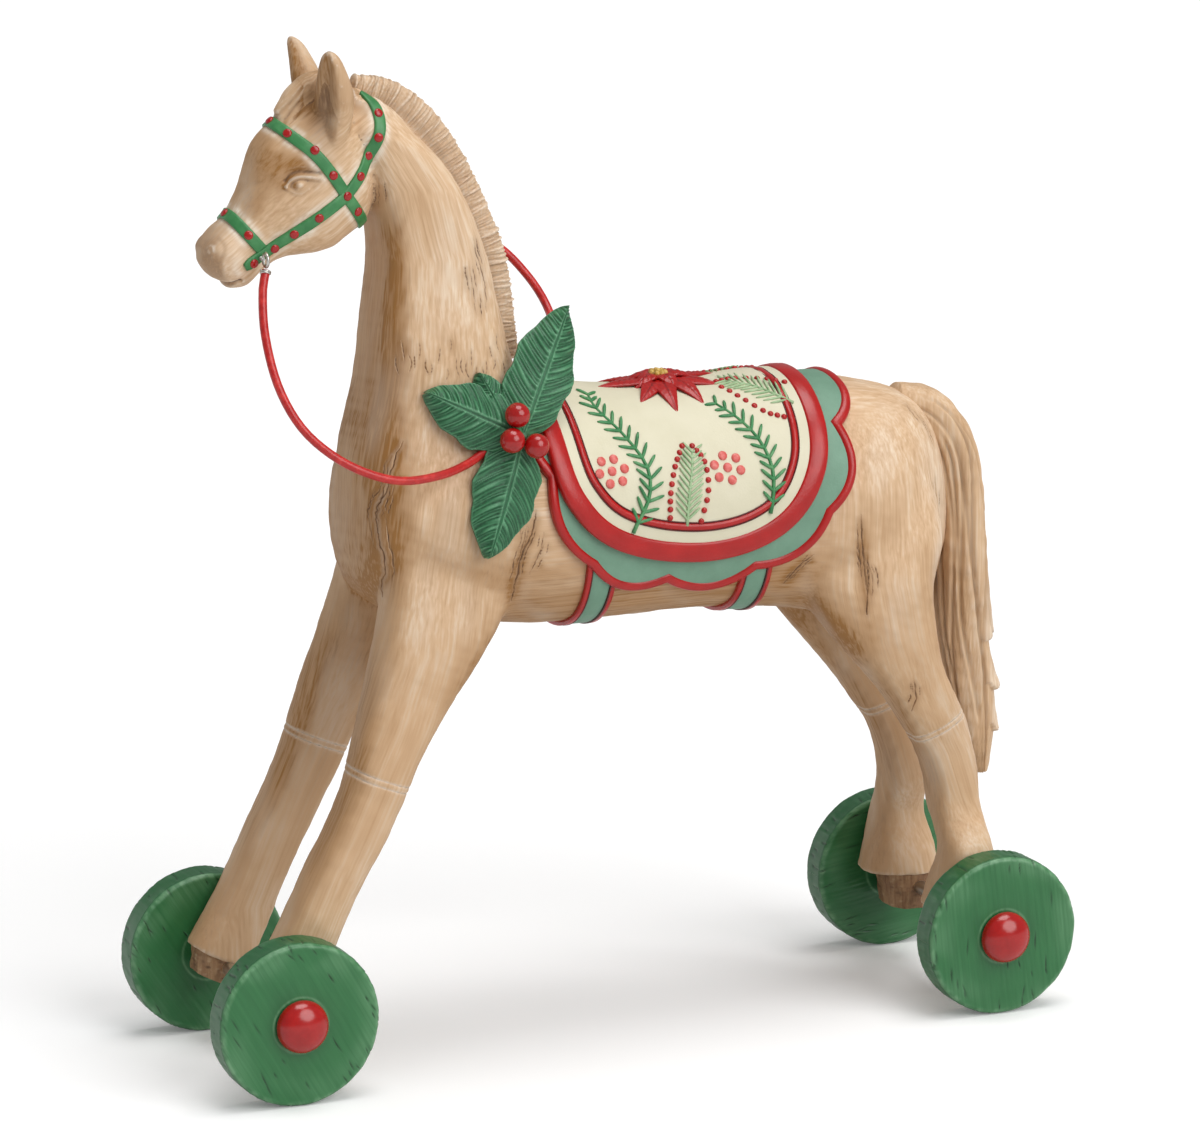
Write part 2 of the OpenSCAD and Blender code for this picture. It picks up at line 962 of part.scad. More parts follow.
module strap_layer(from, to) {
  difference() {
    union() {
      head_form(to);
      neck_form(to);
    }
    head_form(from);
    neck_form(from);
  }
}

module strap(line) {
  intersection() {
    strap_layer(0, strap_t);
    side_view()
      strap_band(line, strap_w);
  }
}

module noseband() {
  color(green_colour)
    carve()
      difference() {
        strap(nose_line);
        side_view()
          strap_band(cheek_line, strap_w);
      }
}

module browband() {
  color(green_colour)
    carve()
      strap(brow_line);
}

module left_half() {
  translate([-big, 0, 0])
    cube([2 * big, big, 2 * big]);
}

module right_half() {
  mirror([0, 1, 0])
    left_half();
}

// The cheekpieces of both sides, cut for the browband and the eyelets
module cheekpieces() {
  difference() {
    strap(cheek_line);
    side_view()
      strap_band(brow_line, strap_w);
    both_sides()
      eyelet_shank_at(glue_gap);
  }
}

module cheekpiece_left() {
  color(green_colour)
    carve()
      intersection() {
        cheekpieces();
        left_half();
      }
}

module cheekpiece_right() {
  color(green_colour)
    carve()
      intersection() {
        cheekpieces();
        right_half();
      }
}

// The crownpieces of both sides, which end at the mane
module crownpieces() {
  difference() {
    strap(crown_line);
    side_view()
      strap_band(brow_line, strap_w);
    loft(mane_stations, part_gap, 16, 12);
    both_sides()
      set_ear()
        loft(ear_stations, part_gap, 8, 12);
  }
}

module crownpiece_left() {
  color(green_colour)
    carve()
      intersection() {
        crownpieces();
        left_half();
      }
}

module crownpiece_right() {
  color(green_colour)
    carve()
      intersection() {
        crownpieces();
        right_half();
      }
}

stud_places = [
  [161, 128.5], [156, 119.5], [149, 124], [142.5, 128.5], [133, 135], [121, 143],
  [114.8, 150.5], [110.3, 158.5], [106.5, 166], [105.7, 173.5],
  [141, 167], [134, 161], [127, 152], [115.5, 136]
];

module bridle_studs() {
  color(red_colour)
    carve()
      difference() {
        intersection() {
          strap_layer(strap_t, strap_t + stud_h);
          side_view()
            translate([0, spine_z])
              for (p = stud_places)
                translate(p)
                  circle(d = stud_d, $fn = 8);
        }
        both_sides() {
          set_ear()
            loft(ear_stations, part_gap, 8, 12);
          eyelet_shank_at(glue_gap);
        }
      }
}

// Eyelets: a ring of wire beside the mouth on a shank in the cheek
eyelet = [156, spine_z + 119];
eyelet_r = rein_d / 2 + eyelet_wire_d / 2 + part_gap;
shank_d = eyelet_wire_d * 0.8;
eyelet_side = spline(head_stations, 5.2)[5];
eyelet_y = eyelet_side + strap_t + stud_h + eyelet_r + 0.8;

module eyelet_shank_at(gap) {
  translate([eyelet[0], eyelet_y - eyelet_r, eyelet[1]])
    rotate([90, 0, 0])
      translate([0, 0, -gap])
        cylinder(d = shank_d + 2 * gap, h = eyelet_shank + 2 * gap, $fn = 20);
}

module rein_eyelet_left() {
  color(steel_colour)
    union() {
      translate([eyelet[0], eyelet_y, eyelet[1]])
        rotate([0, 90, 0])
          rotate_extrude($fn = 32)
            translate([eyelet_r, 0])
              circle(d = eyelet_wire_d, $fn = 12);
      eyelet_shank_at(0);
    }
}

module rein_eyelet_right() {
  mirror([0, 1, 0])
    rein_eyelet_left();
}

// Rein: a stiff cord from each eyelet to the sprig. Heights over the barrel's middle.
// A rein's end hangs close under or behind its eyelet, in a wire binding
rein_start = eyelet_r + eyelet_wire_d / 2 + 2.5 * part_gap;
rein_left_route = [
  [156, eyelet_y, 119 - rein_start], [159, 23, 106], [161, 31, 90], [159, 40, 71], [152, 47, 55],
  [140, 51, 43], [126, 54, 35], [110.5, 54, 30.5], [92.5, 50, 30.5], [78, 43, 32.5],
  [70, 39.2, 35.4], [63.5, 37.6, 38]
];
rein_right_route = [
  [156 - rein_start / 2, -eyelet_y, 119], [146, -31, 125], [125, -37, 127], [100, -37, 125],
  [76, -36, 120], [54, -34, 116], [35, -31, 108], [22, -26, 94], [17, -16, 81], [22, 1, 73],
  [31, 15, 65], [39, 25.5, 58], [46, 34, 52.5]
];

function rein_path(route, steps) = [
  for (i = [0:steps]) let (p = spline(route, (len(route) - 1) * i / steps)) [p[0], p[1], p[2] + spine_z]
];

function tube_ring(path, i, r, count) =
  let (
    n = len(path) - 1,
    d = path[min(n, i + 1)] - path[max(0, i - 1)],
    along = d / norm(d),
    u = cross(along, [0, 1, 0.3]) / norm(cross(along, [0, 1, 0.3])),
    v = cross(along, u)
  )
  [for (k = [0:count - 1]) path[i] + r * (cos(360 * k / count) * u + sin(360 * k / count) * v)];

module tube(path, r) {
  skin([for (i = [0:len(path) - 1]) tube_ring(path, i, r, 8)]);
}

module rein_left() {
  color(red_colour)
    tube(rein_path(rein_left_route, 26), rein_d / 2);
}

module rein_right() {
  color(red_colour)
    tube(rein_path(rein_right_route, 34), rein_d / 2);
}

// Holly: leaves fan out from a point on the shoulder
sprig = [54, spine_z + 41.5];
shoulder = spline(torso_stations, station_of(sprig[0]));
sprig_in = 4.5;
sprig_y = shoulder[5] - sprig_in;
pin_head = 5;
leaf_rows = 12;
leaf_cols = 6;

// A leaf along +X that faces +Z, with a raised midrib, a waved edge and a curl
function leaf_point(l, w, lift, curl, s, c, under) =
  let (
    half = w / 2 * pow(sin(180 * pow(s, 0.8)), 0.8) * (1 + 0.12 * sin(360 * 3.5 * s)) + 0.6,
    y = half * c,
    rib = leaf_t * (1 - 0.45 * abs(c)),
    sag = curl * s * s + lift * s - 0.12 * w * c * c
  )
  [l * s, y, sag + (under ? 0 : rib)];

function leaf_ring(l, w, lift, curl, s) = concat(
  [for (j = [leaf_cols:-1:0]) leaf_point(l, w, lift, curl, s, 2 * j / leaf_cols - 1, false)],
  [for (j = [0:leaf_cols]) leaf_point(l, w, lift, curl, s, 2 * j / leaf_cols - 1, true)]
);

module leaf(l, w, lift, curl) {
  skin([for (i = [0:leaf_rows]) leaf_ring(l, w, lift, curl, i / leaf_rows)]);
}

// Stands what is drawn round the origin at the sprig's place, leaned with the shoulder
module on_sprig() {
  translate([sprig[0], sprig_y, sprig[1]])
    rotate([sprig_lean, 0, 0])
      children();
}

// Turns a leaf onto the shoulder: its face outward, its tip at an angle from straight ahead
module on_shoulder(angle, out) {
  on_sprig()
    translate([0, out, 0])
      rotate([90, 0, 0])
        mirror([0, 0, 1])
          rotate(angle)
            children();
}

module front_leaf_form() {
  on_shoulder(29, 2)
    leaf(leaf_l - 11, leaf_w - 4, -4, 0);
}

module small_leaf_form() {
  on_shoulder(62, -4)
    leaf(leaf_l * 0.58, leaf_w / 2 + 2, 0, 2);
}

module upper_leaf_form() {
  on_shoulder(118, 1)
    leaf(leaf_l + 5, leaf_w, -2, 0);
}

module lower_leaf_form() {
  on_shoulder(-69, 1)
    leaf(leaf_l - 2, leaf_w, 2, -6);
}

seat_gap = 0.1;
berry_places = [[3.4, 8.4], [6.8, -1.8], [-3.6, -4.9]];
berry_out = berry_r + 3.5;

// What a leaf is cut away for: the shoulder, the pin and the berries
module sprig_cut() {
  figure(glue_gap);
  holly_pin_at(glue_gap);
  berries_form(seat_gap);
}

module holly_leaf_front() {
  color(green_colour)
    carve()
      difference() {
        front_leaf_form();
        sprig_cut();
      }
}

module holly_leaf_small() {
  color(green_colour)
    carve()
      difference() {
        small_leaf_form();
        front_leaf_form();
        sprig_cut();
      }
}

module holly_leaf_upper() {
  color(green_colour)
    carve()
      difference() {
        upper_leaf_form();
        front_leaf_form();
        small_leaf_form();
        sprig_cut();
      }
}

module holly_leaf_lower() {
  color(green_colour)
    carve()
      difference() {
        lower_leaf_form();
        front_leaf_form();
        small_leaf_form();
        upper_leaf_form();
        sprig_cut();
      }
}

module berries_form(gap) {
  for (p = berry_places)
    on_sprig()
      translate([p[0], berry_out, p[1]])
        sphere(r = berry_r + gap, $fn = 24);
}

module holly_berries() {
  color(red_colour)
    berries_form(0);
}

module holly_pin_at(gap) {
  on_sprig()
    translate([0, -pin_depth - gap, 0])
      rotate([-90, 0, 0])
        cylinder(d = pin_d + 2 * gap, h = pin_depth + pin_head, $fn = 24);
}

module holly_pin() {
  color(steel_colour)
    holly_pin_at(0);
}

module axle_at(x) {
  color(steel_colour)
    translate([x, 0, axle_z])
      rotate([90, 0, 0])
        cylinder(r = axle_r, h = 2 * axle_end_y, center = true, $fn = 48);
}

module axle_front() {
  axle_at(front_x);
}

module axle_rear() {
  axle_at(rear_x);
}

function rim_at(y, a) = [wheel_r - rim_round + rim_round * cos(a), y + rim_round * sin(a)];

// A wheel on the left side: a turned disc with rounded rim and a bore for the axle
module wheel_at(x) {
  color(green_colour)
    translate([x, wheel_inner_y, axle_z])
      rotate([-90, 0, 0])
        rotate_extrude($fn = 72)
          polygon(concat(
            [[bore_r, 0], [wheel_r - rim_round, 0]],
            [for (a = [-75:15:0]) rim_at(rim_round, a)],
            [for (a = [0:15:75]) rim_at(wheel_t - rim_round, a)],
            [[wheel_r - rim_round, wheel_t], [bore_r, wheel_t]]
          ));
}

module wheel_front_left() {
  wheel_at(front_x);
}

module wheel_front_right() {
  mirror([0, 1, 0])
    wheel_at(front_x);
}

module wheel_rear_left() {
  wheel_at(rear_x);
}

module wheel_rear_right() {
  mirror([0, 1, 0])
    wheel_at(rear_x);
}

// A domed cap pressed on the axle's end, with a short straight rim
cap_rim = 1;

module hub_cap_at(x) {
  color(red_colour)
    translate([x, cap_base_y, axle_z])
      rotate([-90, 0, 0])
        difference() {
          rotate_extrude($fn = 48)
            polygon(concat(
              [[0, 0], [cap_d / 2, 0]],
              [for (a = [0:10:80]) [cap_d / 2 * cos(a), cap_rim + (cap_h - cap_rim) * sin(a)]],
              [[0, cap_h]]
            ));
          translate([0, 0, -1])
            cylinder(r = glued_r, h = cap_seat + 1 + glue_gap, $fn = 48);
        }
}

module hub_cap_front_left() {
  hub_cap_at(front_x);
}

module hub_cap_front_right() {
  mirror([0, 1, 0])
    hub_cap_at(front_x);
}

module hub_cap_rear_left() {
  hub_cap_at(rear_x);
}

module hub_cap_rear_right() {
  mirror([0, 1, 0])
    hub_cap_at(rear_x);
}

torso();
neck();
head();
mane();
forelock();
ear_left();
ear_right();
tail();
leg_front_left();
leg_front_right();
leg_rear_left();
leg_rear_right();
hoof_front_left();
hoof_front_right();
hoof_rear_left();
hoof_rear_right();
neck_dowels();
head_dowel();
leg_dowels();
tail_dowel();
saddle_blanket();
blanket_piping();
saddle_cover();
cover_border();
cover_line();
girth_front();
girth_rear();
girth_edging();
poinsettia_petals();
poinsettia_centre();
noseband();
browband();
cheekpiece_left();
cheekpiece_right();
crownpiece_left();
crownpiece_right();
bridle_studs();
rein_eyelet_left();
rein_eyelet_right();
rein_left();
rein_right();
holly_leaf_front();
holly_leaf_small();
holly_leaf_upper();
holly_leaf_lower();
holly_berries();
holly_pin();
axle_front();
axle_rear();
wheel_front_left();
wheel_front_right();
wheel_rear_left();
wheel_rear_right();
hub_cap_front_left();
hub_cap_front_right();
hub_cap_rear_left();
hub_cap_rear_right();
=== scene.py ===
"""Looks of a carved wooden horse on wheels: limewashed carving, painted saddle, studded bridle,
cord rein, holly sprig and green wheels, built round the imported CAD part. Metres, same frame."""

import math

import bmesh
import bpy
import numpy as np
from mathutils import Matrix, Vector
from mathutils.bvhtree import BVHTree


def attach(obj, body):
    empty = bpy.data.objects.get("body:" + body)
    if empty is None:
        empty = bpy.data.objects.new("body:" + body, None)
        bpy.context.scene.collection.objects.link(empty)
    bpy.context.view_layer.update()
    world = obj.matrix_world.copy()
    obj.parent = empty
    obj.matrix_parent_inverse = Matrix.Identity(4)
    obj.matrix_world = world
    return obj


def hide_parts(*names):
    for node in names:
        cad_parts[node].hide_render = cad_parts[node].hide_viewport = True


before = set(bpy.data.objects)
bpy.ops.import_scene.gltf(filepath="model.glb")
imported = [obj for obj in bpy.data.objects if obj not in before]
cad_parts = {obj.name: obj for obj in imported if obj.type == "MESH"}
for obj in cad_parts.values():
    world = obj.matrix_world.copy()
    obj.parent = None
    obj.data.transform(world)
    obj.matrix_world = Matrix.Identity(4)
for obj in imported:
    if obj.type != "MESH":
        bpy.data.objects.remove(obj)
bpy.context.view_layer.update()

MM = 0.001
SPINE = 227.0
AXLE_Z = 35.0
FRONT_X = 161.0
HALF_W = 43.0
TAU = 2 * math.pi
# A way that no tube starts along, to find its first side with
ASKEW = [0.31, 0.52, 0.79]
# Farther than any mark reaches
FAR = 99.0


# Shapes


def spline(rows, u):
    """Smooth curve through rows, at places u counted in rows."""
    rows = np.asarray(rows, float)
    u = np.atleast_1d(np.asarray(u, float))
    ends = np.vstack([2 * rows[0] - rows[1], rows, 2 * rows[-1] - rows[-2]])
    i = np.clip(np.floor(u).astype(int), 0, len(rows) - 2)
    t = (u - i)[:, None]
    a, b, c, d = ends[i], ends[i + 1], ends[i + 2], ends[i + 3]
    return b + 0.5 * t * (c - a + t * (2 * a - 5 * b + 4 * c - d + t * (3 * (b - c) + d - a)))


def run_of(points):
    """Length of a line from its first point to each of its points."""
    return np.r_[0, np.cumsum(np.linalg.norm(np.diff(points, axis=0), axis=1))]


def ways_along(line):
    """Unit directions along a line of points."""
    way = np.gradient(line, axis=0)
    return way / np.linalg.norm(way, axis=1, keepdims=True)


def full_turn(count):
    """Even angles round a full turn."""
    return TAU * np.arange(count) / count


def circle(a, b, count):
    """Points of a unit circle laid on two ways."""
    t = full_turn(count)[:, None]
    return np.cos(t) * a + np.sin(t) * b


def relaxed(rows, times):
    """Rows of points evened out between the first row and the last."""
    for _ in range(times):
        rows[1:-1] += 0.5 * ((rows[:-2] + rows[2:]) / 2 - rows[1:-1])
    return rows


def even(points, step):
    """The same line with points a step apart."""
    points = np.asarray(points, float)
    run = run_of(points)
    want = np.linspace(0, run[-1], max(2, int(round(run[-1] / step)) + 1))
    return np.stack([np.interp(want, run, points[:, k]) for k in range(points.shape[1])], 1)


def curve_through(points, step):
    """Even points on a smooth curve through a few given ones."""
    fine = spline(points, np.linspace(0, len(points) - 1, 40 * (len(points) - 1) + 1))
    return even(fine, step)


def signed_pow(v, e):
    """A power that keeps the sign."""
    return np.sign(v) * np.abs(v) ** e


def loft_rings(stations, steps, count):
    """Rings of a carved form, smooth through its stations. A station is x, y, z, tilt, half depth,
    half width, squareness and egg."""
    s = spline(stations, np.linspace(0, len(stations) - 1, steps + 1))
    x, y, z, tilt, deep, wide, square, egg = (s[:, k : k + 1] for k in range(8))
    t = np.repeat(full_turn(count)[None], len(s), 0)
    tilt = np.radians(tilt)
    depth = deep * signed_pow(np.sin(t), 2 / square)
    width = wide * signed_pow(np.cos(t), 2 / square) * (1 + egg * np.sin(t))
    return np.stack([x + depth * np.cos(tilt), y + width, z + depth * np.sin(tilt)], -1)


def ring_mesh(rings):
    """Vertices and faces of closed rings joined in a row, with both ends capped."""
    m, n = rings.shape[:2]
    verts = np.vstack([rings.reshape(-1, 3), rings[0].mean(0), rings[-1].mean(0)])
    faces = []
    for i in range(m - 1):
        for j in range(n):
            k = (j + 1) % n
            faces.append((i * n + j, (i + 1) * n + j, (i + 1) * n + k, i * n + k))
    for j in range(n):
        k = (j + 1) % n
        faces.append((m * n, j, k))
        faces.append((m * n + 1, (m - 1) * n + k, (m - 1) * n + j))
    return verts, faces


def loop_mesh(rings):
    """Vertices and faces of closed rings joined in a closed loop."""
    m, n = rings.shape[:2]
    faces = [
        (i * n + j, i * n + (j + 1) % n, (i + 1) % m * n + (j + 1) % n, (i + 1) % m * n + j)
        for i in range(m)
        for j in range(n)
    ]
    return rings.reshape(-1, 3), faces


def mirrored(shape):
    """The same shape on the horse's other side."""
    verts, faces = shape
    return verts * np.array([1, -1, 1]), [tuple(reversed(f)) for f in faces]


def joined(shapes):
    """One list of vertices and faces from several."""
    verts, faces, at = [], [], 0
    for v, f in shapes:
        verts.append(v)
        faces += [tuple(k + at for k in q) for q in f]
        at += len(v)
    return np.vstack(verts), faces


def piece(name, shape, material, smooth=True, outward=True):
    """A new object from vertices in millimetres."""
    verts, faces = shape
    mesh = bpy.data.meshes.new(name)
    mesh.from_pydata((verts * MM).tolist(), [], faces)
    if outward:
        work = bmesh.new()
        work.from_mesh(mesh)
        bmesh.ops.recalc_face_normals(work, faces=work.faces)
        work.to_mesh(mesh)
        work.free()
    mesh.polygons.foreach_set("use_smooth", [smooth] * len(mesh.polygons))
    obj = bpy.data.objects.new(name, mesh)
    bpy.context.scene.collection.objects.link(obj)
    mesh.materials.append(material)
    return obj


def wear(obj, body, slot, *nodes):
    """Sets a piece on its CAD body and in place of its nodes; its material slot is not used."""
    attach(obj, body)
    if nodes:
        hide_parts(*nodes)
    return obj


def fitted(name, shape, material, slot, *nodes, body="horse"):
    """A new piece, set on its body."""
    return wear(piece(name, shape, material), body, slot, *nodes)


def ramp(v, low, high):
    """Smooth step from 0 at low to 1 at high."""
    t = np.clip((v - low) / (high - low), 0, 1)
    return t * t * (3 - 2 * t)


def swell(d, width):
    """A rounded bump: 1 where the distance is nothing, about a third at the width."""
    return np.exp(-((d / width) ** 2))


def between(v, low, full, fade, high):
    """Rises from low to full and falls again from fade to high."""
    return ramp(v, low, full) * (1 - ramp(v, fade, high))


def turn_from(t, start):
    """Angles from a start, within half a turn either way."""
    return np.angle(np.exp(1j * (t - start)))


def leaned(y, z, lean):
    """Places turned by an angle about the horse's length."""
    c, s = math.cos(lean), math.sin(lean)
    return y * c - z * s, y * s + z * c


def ripple(co, length, seed):
    """Gentle unevenness of about the given length in millimetres, between -1 and 1."""
    dice = np.random.default_rng(seed)
    total = np.zeros(co.shape[:-1])
    for _ in range(9):
        way = dice.normal(size=3)
        way *= TAU / (length * dice.uniform(0.7, 1.5) * np.linalg.norm(way))
        total += np.sin(co @ way + dice.uniform(0, TAU))
    return total / 4.5


def values(obj, **named):
    """Stores values at the vertices, for the materials."""
    for name, data in named.items():
        data = np.asarray(data, np.float32)
        kind = "FLOAT" if data.ndim == 1 else "FLOAT_VECTOR"
        store = obj.data.attributes.new(name, kind, "POINT")
        store.data.foreach_set("value" if kind == "FLOAT" else "vector", data.ravel())


def ring_values(rows):
    """Values on rings, kept between 0 and 1, with none on the middle points of the two caps."""
    return np.r_[np.clip(rows, 0, 1).ravel(), 0, 0]


def grained(obj, grain, **marks):
    """Stores the marks of a piece whose grain runs one way all over."""
    values(obj, grain=grain, grain_across=grain, across=np.zeros(len(grain)), **marks)


def numbers_of(rows, key, width, kind=np.float32):
    """A mesh's own numbers, a row for each vertex or edge."""
    flat = np.zeros(len(rows) * width, kind)
    rows.foreach_get(key, flat)
    return flat.reshape(-1, width)


def points_of(mesh):
    """Vertices in millimetres."""
    return numbers_of(mesh.vertices, "co", 3).astype(float) / MM


def normals_of(mesh):
    """The way that the surface faces at each vertex."""
    return numbers_of(mesh.vertex_normals, "vector", 3).astype(float)


def edges_of(mesh):
    """The two vertices of each edge."""
    return numbers_of(mesh.edges, "vertices", 2, np.int32)


def pull(co, pairs):
    """From each vertex to the middle of its neighbours."""
    a, b = pairs[:, 0], pairs[:, 1]
    count = np.bincount(pairs.ravel(), minlength=len(co))
    total = [np.bincount(a, c[b], len(co)) + np.bincount(b, c[a], len(co)) for c in co.T]
    return np.stack(total, 1) / np.maximum(count, 1)[:, None] - co


def reshape(obj, co):
    """Moves a piece's vertices to places in millimetres."""
    obj.data.vertices.foreach_set("co", (co * MM).astype(np.float32).ravel())
    obj.data.update()


def ring_normals(rings):
    """Outward directions on closed rings."""
    along = np.gradient(rings, axis=0)
    round_ = np.roll(rings, -1, 1) - np.roll(rings, 1, 1)
    out = np.cross(along, round_)
    out /= np.linalg.norm(out, axis=-1, keepdims=True) + 1e-9
    if ((rings - rings.mean(1, keepdims=True)) * out).sum() < 0:
        out = -out
    return out


def close_to(co, line, reach):
    """Vertices near a line of points: their numbers, the nearest point of the line and the distance."""
    low, high = line.min(0) - reach, line.max(0) + reach
    near = np.where(((co > low) & (co < high)).all(1))[0]
    if not len(near):
        return near, near, near.astype(float)
    gap = np.linalg.norm(co[near, None, :] - line[None], axis=-1)
    spot = gap.argmin(1)
    gap = gap[np.arange(len(near)), spot]
    keep = gap < reach
    return near[keep], spot[keep], gap[keep]


def tube(line, radius, count=10):
    """A closed tube along a line of points."""
    line = np.asarray(line, float)
    way = ways_along(line)
    side = np.cross(way[0], ASKEW)
    rings = []
    for p, d, r in zip(line, way, np.broadcast_to(radius, len(line))):
        side = side - d * (side @ d)
        side /= np.linalg.norm(side)
        rings.append(p + r * circle(side, np.cross(d, side), count))
    return ring_mesh(np.array(rings))


# Materials


def srgb(code):
    """A colour written as sRGB hex, as linear red, green, blue, alpha."""
    parts = [int(code[i : i + 2], 16) / 255 for i in (1, 3, 5)]
    return tuple(c / 12.92 if c <= 0.04045 else ((c + 0.055) / 1.055) ** 2.4 for c in parts) + (1.0,)


def node(mat, kind, links=(), **settings):
    """Adds a node, sets its values and sockets, and links (socket, from socket) pairs."""
    made = mat.node_tree.nodes.new(kind)
    for key, value in settings.items():
        if hasattr(made, key):
            setattr(made, key, value)
        else:
            socket = int(key[1:]) if key[1:].isdigit() else key.replace("_", " ")
            made.inputs[socket].default_value = value
    for socket, source in links:
        mat.node_tree.links.new(source, made.inputs[socket])
    return made


def finish_of(name, **settings):
    """A new material and its shader."""
    mat = bpy.data.materials.new(name)
    mat.use_nodes = True
    shader = mat.node_tree.nodes["Principled BSDF"]
    for key, value in settings.items():
        shader.inputs[key.replace("_", " ")].default_value = value
    return mat, shader


def stops(ramp_node, *pairs):
    """Colour stops of a ramp, as (place, sRGB hex)."""
    band = ramp_node.color_ramp
    while len(band.elements) < len(pairs):
        band.elements.new(0.5)
    for stop, (place, code) in zip(band.elements, pairs):
        stop.position = place
        stop.color = srgb(code)


def washes(mat, colour, pattern, coats):
    """Lays coats over a colour where the vertex values say, broken up by a pattern."""
    for attribute, code in coats:
        amount = node(mat, "ShaderNodeAttribute", attribute_name=attribute)
        broken = node(
            mat, "ShaderNodeMath", [(0, amount.outputs["Fac"]), (1, pattern)],
            operation="MULTIPLY", use_clamp=True,
        )
        full = node(
            mat, "ShaderNodeMath", [(0, broken.outputs[0])],
            operation="MULTIPLY", use_clamp=True, _1=2.0,
        )
        laid = node(
            mat, "ShaderNodeMix", [(0, full.outputs[0]), (6, colour)],
            data_type="RGBA", _7=srgb(code),
        )
        colour = laid.outputs[2]
    return colour


def surfaced(mat, shader, colour, height, strength, lift):
    """Gives a shader its colour and a relief that is lift metres high."""
    relief = node(mat, "ShaderNodeBump", [("Height", height)], Strength=strength, Distance=lift)
    mat.node_tree.links.new(colour, shader.inputs["Base Color"])
    mat.node_tree.links.new(relief.outputs["Normal"], shader.inputs["Normal"])


def carved_wood(name, dark, middle, light, wash_and_shade, chalk, blush, roughness, lift=0.0005):
    """Carved softwood under a rubbed-back coat: streaks run with the grain, dark wash stays in the cuts, a
    chalky rub stays on the edges, and the same coats also lay painted shade and painted light where the
    vertex values say. Streaks are 1.2 mm and
    7 mm wide, patches 28 mm."""
    mat, shader = finish_of(name, Roughness=roughness)
    turned = node(mat, "ShaderNodeAttribute", attribute_name="across").outputs["Fac"]
    lies = [node(mat, "ShaderNodeAttribute", attribute_name=key) for key in ("grain", "grain_across")]
    bands = []
    for wide, long in ((1.2, 70), (7, 150)):
        sources = [(0, turned)]
        for socket, lie in zip((2, 3), lies):
            sized = node(
                mat, "ShaderNodeVectorMath", [(0, lie.outputs["Vector"])],
                operation="MULTIPLY", _1=(1 / wide, 1 / wide, 1 / long),
            )
            marks = node(
                mat, "ShaderNodeTexNoise", [("Vector", sized.outputs[0])],
                Scale=1.0, Detail=2.0, Roughness=0.5,
            )
            sources.append((socket, marks.outputs["Fac"]))
        bands.append(node(mat, "ShaderNodeMix", sources).outputs[0])
    streak, broad = bands
    spot = node(mat, "ShaderNodeTexCoord")
    patch = node(
        mat, "ShaderNodeTexNoise", [("Vector", spot.outputs["Object"])],
        Scale=1 / 0.028, Detail=3.0, Roughness=0.55,
    )
    mix = node(mat, "ShaderNodeMix", [(2, streak), (3, broad)], _0=0.42)
    tone = node(mat, "ShaderNodeMix", [(2, mix.outputs[0]), (3, patch.outputs["Fac"])], _0=0.22)
    wood = node(mat, "ShaderNodeValToRGB", [("Fac", tone.outputs[0])])
    stops(wood, (0.34, dark), (0.5, middle), (0.66, light))
    # The brown and dark coats carry painted shade and the chalk coat painted light, besides the real wash and
    # chalk
    coats = (("blush", blush), ("chalk", chalk), ("stain", wash_and_shade))
    colour = washes(mat, wood.outputs["Color"], streak, coats)
    surfaced(mat, shader, colour, streak, 0.5, lift)
    return mat


def painted(name, dark, middle, light, wash_and_shade, rub_and_light, brush, roughness, coat=0.0, lift=0.0002):
    """Brushed paint: uneven coats over a brush mark's width in millimetres, a darker wash that settles in the
    cuts, and a paler rub on what stands out; on the holly leaves the wash and rub also carry painted shade in
    the veins and painted highlights on the ridges. Its grit is drawn 0.9 mm wide, coarser than real so that
    it shows."""
    mat, shader = finish_of(name, Roughness=roughness, Coat_Weight=coat, Coat_Roughness=0.15)
    spot = node(mat, "ShaderNodeTexCoord").outputs["Object"]
    marks, grit = (
        node(
            mat, "ShaderNodeTexNoise", [("Vector", spot)],
            Scale=1000 / width, Detail=detail, Roughness=fade,
        ).outputs["Fac"]
        for width, detail, fade in ((brush, 4.0, 0.6), (0.9, 2.0, 0.5))
    )
    brushed = node(mat, "ShaderNodeValToRGB", [("Fac", marks)])
    stops(brushed, (0.32, dark), (0.5, middle), (0.7, light))
    colour = washes(mat, brushed.outputs["Color"], grit, (("chalk", rub_and_light), ("stain", wash_and_shade)))
    both = node(mat, "ShaderNodeMath", [(0, marks), (1, grit)], operation="ADD")
    surfaced(mat, shader, colour, both.outputs[0], 0.35, lift)
    return mat


# Softwood rubbed with lime: pale and nearly matt, brown in the cuts and chalky on the edges; its warm brown
# is also painted shade on the front, under the belly and on the legs
limewashed_wood = carved_wood(
    "limewashed_wood", "#bb966f", "#d0ae8a", "#e1caae", "#5f4129", "#efe5d6", "#956730", 0.62
)
# The same wood stained brown: rough, nearly matt, with the paler wood showing on its edges
stained_hoof_wood = carved_wood(
    "stained_hoof_wood", "#76543a", "#94704f", "#b08d67", "#4a3222", "#d6bc9a", "#5f4430", 0.7
)
# Matt milk paint: even sage with a soft brushed unevenness
sage_paint = painted("sage_milk_paint", "#678d76", "#6d937c", "#739982", "#2f5a41", "#a9cdb6", 14, 0.55)
# Satin oil paint: full red with a soft sheen that shows the brush
red_paint = painted("red_satin_paint", "#a00b08", "#a80e0b", "#b01310", "#4e0908", "#cb463c", 10, 0.3)
# Matt casein paint: warm cream, almost flat
cream_paint = painted("cream_casein_paint", "#cfc9ae", "#d2ccb2", "#d5cfb6", "#a79d78", "#f6f2e2", 16, 0.55)
# Satin oil paint in strap green: a soft sheen, uneven from the brush
green_paint = painted("green_satin_paint", "#2f7440", "#397e48", "#4a8b55", "#1c4a2e", "#8dbf9d", 7, 0.42)
